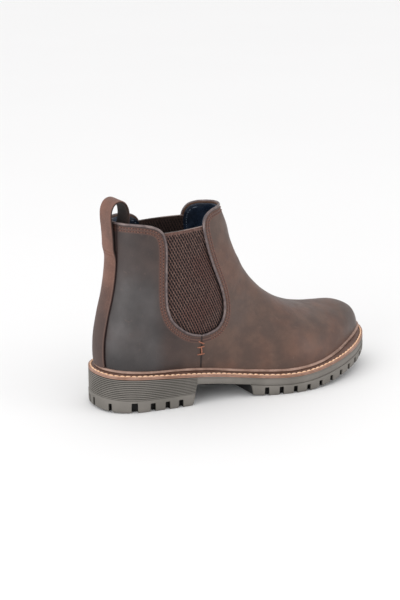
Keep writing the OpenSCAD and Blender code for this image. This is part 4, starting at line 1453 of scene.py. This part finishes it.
def lining_look():
    m = Look("lining_leather", 0.3, Specular_IOR_Level=0.6, Coat_Weight=0.5, Coat_Roughness=0.18)
    base = m.mottle(m.noise(45, 4, 0.6), "151d2a", "2a374a")
    base = m.mix(m.span(m.noise(240, 4, 0.65), 0.55, 0.8, 0.0, 0.45), base, "3c4b5d")
    off = m.off(m.attribute("edge"), 4.2)
    thread = m.span(m.calc("SINE", m.times(m.axis(2), 2600.0)), -0.2, 0.2)
    base = m.mix(m.times(m.span(off, 0.5, 0.2, 0.0, 0.7), thread), base, "7f8b98")
    m.colour(base)
    m.roughness(m.span(m.noise(120, 3, 0.5), 0.3, 0.7, 0.24, 0.42))
    m.bump(m.noise(90, 3, 0.55), 0.8)
    m.bump(m.noise(260, 3, 0.55), 0.3)
    m.bump(m.cells(900), 0.07)
    return m.mat


def thread_look(name, dark, light, rough=0.6):
    m = Look(name, rough, Specular_IOR_Level=0.45)
    m.colour(m.mottle(m.noise(900, 3, 0.6), dark, light))
    m.bump(m.noise(2600, 2, 0.5, at=m.stretch(1, 1, 1.7)), 0.10)
    return m.mat


def welt_look():
    m = Look("welt_leather", 0.55, Specular_IOR_Level=0.42)
    base = m.mottle(m.noise(60, 4, 0.6), "8a6654", "a38070")
    grain = m.noise(600, 4, 0.65, at=m.stretch(0.25, 0.25, 1.0))
    base = m.mix(m.span(grain, 0.45, 0.75, 0.0, 0.5), base, "7a5644")
    h = m.attribute("height")
    base = m.mix(m.times(m.span(h, 0.29, 0.34), m.span(h, 0.43, 0.38)), base, "5e4030")
    base = m.mix(m.span(h, 0.15, 0.0, 0.0, 0.8), base, "4a382e")
    # painted shade: the stitch channel under the rand and the welt's covered faces are painted dark
    base = m.mix(m.attribute("groove"), base, "35190f")
    m.colour(base)
    m.roughness(m.span(m.noise(220, 3, 0.5), 0.3, 0.7, 0.45, 0.62))
    m.bump(m.noise(700, 4, 0.6, at=m.stretch(0.3, 0.3, 1.0)), 0.14)
    return m.mat


def rand_look():
    m = Look("rand_leather", 0.55, Specular_IOR_Level=0.45)
    base = m.mottle(m.noise(90, 4, 0.6), "86695b", "a28577")
    base = m.mix(m.span(m.noise(500, 3, 0.6), 0.5, 0.8, 0.0, 0.5), base, "6b4f42")
    # painted shade: the rand's lower part, tucked under its rounded bead against the welt, is painted dark
    base = m.mix(m.span(m.attribute("rise"), 0.32, 0.12, 0.0, 0.9), base, "3a2219")
    m.colour(base)
    m.bump(m.noise(900, 3, 0.6), 0.10)
    return m.mat


def rubber_look():
    m = Look("sole_rubber", 0.62, Specular_IOR_Level=0.38)
    base = m.mottle(m.noise(28, 3, 0.5), "67635d", "75706a")
    base = m.mix(m.span(m.noise(1400, 2, 0.5), 0.6, 0.8, 0.0, 0.35), base, "827c75")
    low = m.span(m.axis(2), 0.004, 0.0)
    base = m.tint(base, low, "4b4642", 0.3)
    # painted shade: the recessed grooves between the heel's ribs are painted near-black
    base = m.tint(base, m.attribute("groove"), "1c1a18", 0.9)
    # painted shade: faces set back from the sole's edge, such as notch back walls, the breast, the tread's
    # rear face and the arch underside, are painted near-black
    base = m.mix(m.span(m.attribute("depth"), 0.9, 2.4, 0.0, 0.97), base, "050404")
    m.colour(base)
    m.roughness(m.span(m.noise(80, 3, 0.5), 0.3, 0.7, 0.55, 0.7))
    m.bump(m.noise(2200, 3, 0.6), 0.05)
    return m.mat


def footbed_look():
    m = Look("footbed_leather", 0.6, Specular_IOR_Level=0.4)
    base = m.mottle(m.noise(40, 4, 0.6), "2a2423", "3d3432")
    m.colour(m.mix(m.span(m.cells(700), 0.3, 0.7, 0.0, 0.35), base, "544844"))
    m.bump(m.cells(900), 0.12)
    return m.mat


def board_look():
    m = Look("stiffener_board", 0.85)
    base = m.mottle(m.noise(250, 4, 0.7), "a58a67", "c2a684")
    m.colour(m.mix(m.span(m.noise(1400, 3, 0.7), 0.55, 0.75, 0.0, 0.5), base, "7d6648"))
    m.bump(m.noise(1200, 4, 0.7), 0.12)
    return m.mat


def cork_look():
    m = Look("cork", 0.9)
    base = m.mix(m.span(m.cells(420), 0.2, 0.7), "b48c60", "916a42")
    m.colour(m.mix(m.span(m.cells(260, at=m.stretch(1, 1.3, 2)), 0.12, 0.04), base, "4e3522"))
    m.bump(m.cells(420), 0.4)
    return m.mat


def steel_look():
    m = Look("shank_steel", 0.32, Metallic=1.0)
    m.colour(m.mottle(m.noise(500, 4, 0.6, at=m.stretch(0.05, 1, 1)), "8d9094", "b4b7ba"))
    m.roughness(m.span(m.noise(700, 3, 0.6, at=m.stretch(0.05, 1, 1)), 0.3, 0.7, 0.25, 0.45))
    m.bump(m.noise(900, 2, 0.5, at=m.stretch(0.03, 1, 1)), 0.03)
    return m.mat


LEATHER, FOLD, STRAP, GUSSET = leather_look(), fold_look(), strap_look(), gusset_look()
LINING, WELT, RAND, RUBBER = lining_look(), welt_look(), rand_look(), rubber_look()
FOOTBED, BOARD, CORK, STEEL = footbed_look(), board_look(), cork_look(), steel_look()
SEWING = thread_look("sewing_thread", "5c3a2e", "805647")
ORANGE = thread_look("tack_thread", "7c4a38", "a06a52")
WELT_THREAD = thread_look("welt_thread", "dda983", "f6d2b2")

# ---- What each piece stands for ----
PLAN = (
    (LEATHER, "upper_leather", ("quarter_lateral", "quarter_medial", "vamp")),
    (LINING, "lining_leather", ("quarter_lining_lateral", "quarter_lining_medial", "vamp_lining")),
    (FOLD, "fold_leather", ("quarter_fold_lateral", "quarter_fold_medial", "front_fold")),
    (GUSSET, "gusset_elastic", ("gusset_lateral", "gusset_medial")),
    (SEWING, "thread_orange", ("quarter_stitching", "vamp_stitching", "strap_stitching")),
    (ORANGE, "thread_orange", ("seam_tack_lateral", "seam_tack_medial")),
    (STRAP, "strap_leather", ("back_strap",)),
    (RAND, "welt_tan", ("rand",)),
    (WELT, "welt_tan", ("welt",)),
    (WELT_THREAD, "thread_light", ("welt_thread",)),
    (RUBBER, "sole_rubber", ("heel_block", "heel_tread", "midsole", "outsole_forepart")),
    (FOOTBED, "footbed_leather", ("footbed",)))
# Nodes of the pieces that do not stand for the one node of their own name
NODES = {
    "vamp": ("vamp", "vamp_shaft"),
    "vamp_lining": ("vamp_lining", "front_facing"),
    "front_fold": ("vamp_fold_lateral", "vamp_fold_medial", "collar_fold_front"),
    "quarter_stitching": (), "vamp_stitching": (), "strap_stitching": (),
    "back_strap": ("back_strap", "strap_inner_end", "pull_loop"),
}
FRONT = ("vamp", "vamp_lining", "front_fold", "vamp_stitching")
BENDING = FRONT + ("gusset_lateral", "gusset_medial", "back_strap")
for mat, slot, key in [(mat, slot, key) for mat, slot, keys in PLAN for key in keys]:
    obj, nodes = upper[key], NODES.get(key, (key,))
    obj.name = "skin_" + key
    obj.data.materials.clear()
    obj.data.materials.append(mat)
    if key not in BENDING:
        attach(obj, "boot")
    if nodes:
        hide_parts(*nodes)

for node, mat in (("heel_counter", BOARD), ("toe_puff", BOARD), ("insole_board", BOARD),
                  ("cork_filler", CORK), ("shank", STEEL)):
    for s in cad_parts[node].material_slots:
        s.material = mat

# ---- Pieces of the front, the gussets and the back strap, with their placement baked into their points ----
SLIT_MIDDLE = np.array([-10.3, 0.0, 101.9])
SLIT_NORMAL = np.array([-0.668, 0.0, 0.744])
for key in FRONT:
    a, b = (SLIT_MIDDLE - 6 * SLIT_NORMAL) * MM, (SLIT_MIDDLE + 30 * SLIT_NORMAL) * MM
    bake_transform(upper[key])
for key, x, z in (("gusset_lateral", -99.1, 155.0), ("gusset_medial", -88.9, 157.6)):
    a = np.array([x, 0.0, z])
    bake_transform(upper[key])
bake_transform(upper["back_strap"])

# ---- Studio ----
def placed(name, data):
    obj = bpy.data.objects.new(name, data)
    bpy.context.scene.collection.objects.link(obj)
    return obj


floor_mesh = bpy.data.meshes.new("floor")
bm = bmesh.new()
bmesh.ops.create_grid(bm, x_segments=8, y_segments=8, size=9.0)
bm.to_mesh(floor_mesh)
bm.free()
floor = placed("floor", floor_mesh)
floor_look = Look("floor", 0.8, Specular_IOR_Level=0.2)
floor_look.colour(floor_look.mix(floor_look.noise(3, 2, 0.5), "efeeed", "f1f0ef"))
floor.data.materials.append(floor_look.mat)
floor.location = (0, 0, -0.0002)


def area_light(name, place, target, size, power, colour=(1, 1, 1)):
    data = bpy.data.lights.new(name, "AREA")
    data.shape, data.size, data.size_y = "RECTANGLE", size[0], size[1]
    data.energy, data.color = power, colour
    obj = placed(name, data)
    obj.location = place
    obj.rotation_euler = (Vector(target) - Vector(place)).to_track_quat("-Z", "Y").to_euler()


area_light("window", (-1.9, -0.9, 0.55), (0, 0, 0.1), (1.6, 1.0), 20, (0.97, 0.985, 1.0))
area_light("right", (1.5, -1.5, 0.6), (0, 0, 0.08), (1.2, 0.9), 8)
world = bpy.data.worlds.new("world")
world.use_nodes = True
nodes, links = world.node_tree.nodes, world.node_tree.links
sky = nodes["Background"]
place = nodes.new("ShaderNodeTexCoord")
parts = nodes.new("ShaderNodeSeparateXYZ")
fade = nodes.new("ShaderNodeMapRange")
links.new(place.outputs["Generated"], parts.inputs[0])
links.new(parts.outputs["Z"], fade.inputs["Value"])
for key, value in (("From Min", 0.0), ("From Max", 0.8), ("To Min", 0.72), ("To Max", 1.17)):
    fade.inputs[key].default_value = value
links.new(fade.outputs[0], sky.inputs["Strength"])
sky.inputs["Color"].default_value = (0.985, 0.99, 1.0, 1)
bpy.context.scene.world = world
bpy.context.scene.view_settings.view_transform = "Standard"

# ---- Camera ----
BACK = np.array([-0.4938, -0.8219, 0.2840])
BACK /= np.linalg.norm(BACK)
CAMERA_FAR, CAMERA_LENS = 1.540, 96.8
CAMERA_AIM = (-0.0267, 0.0209, 0.0803)
cam_data = bpy.data.cameras.new("camera")
cam_data.lens = CAMERA_LENS
cam_data.sensor_width = 36.0
cam_data.clip_start = 0.05
camera = placed("camera", cam_data)
camera.location = Vector((0, Y_SHIFT * MM, 0.080)) + Vector(BACK) * CAMERA_FAR
aim = Vector(CAMERA_AIM)
camera.rotation_euler = (aim - camera.location).to_track_quat("-Z", "Y").to_euler()
bpy.context.scene.camera = camera
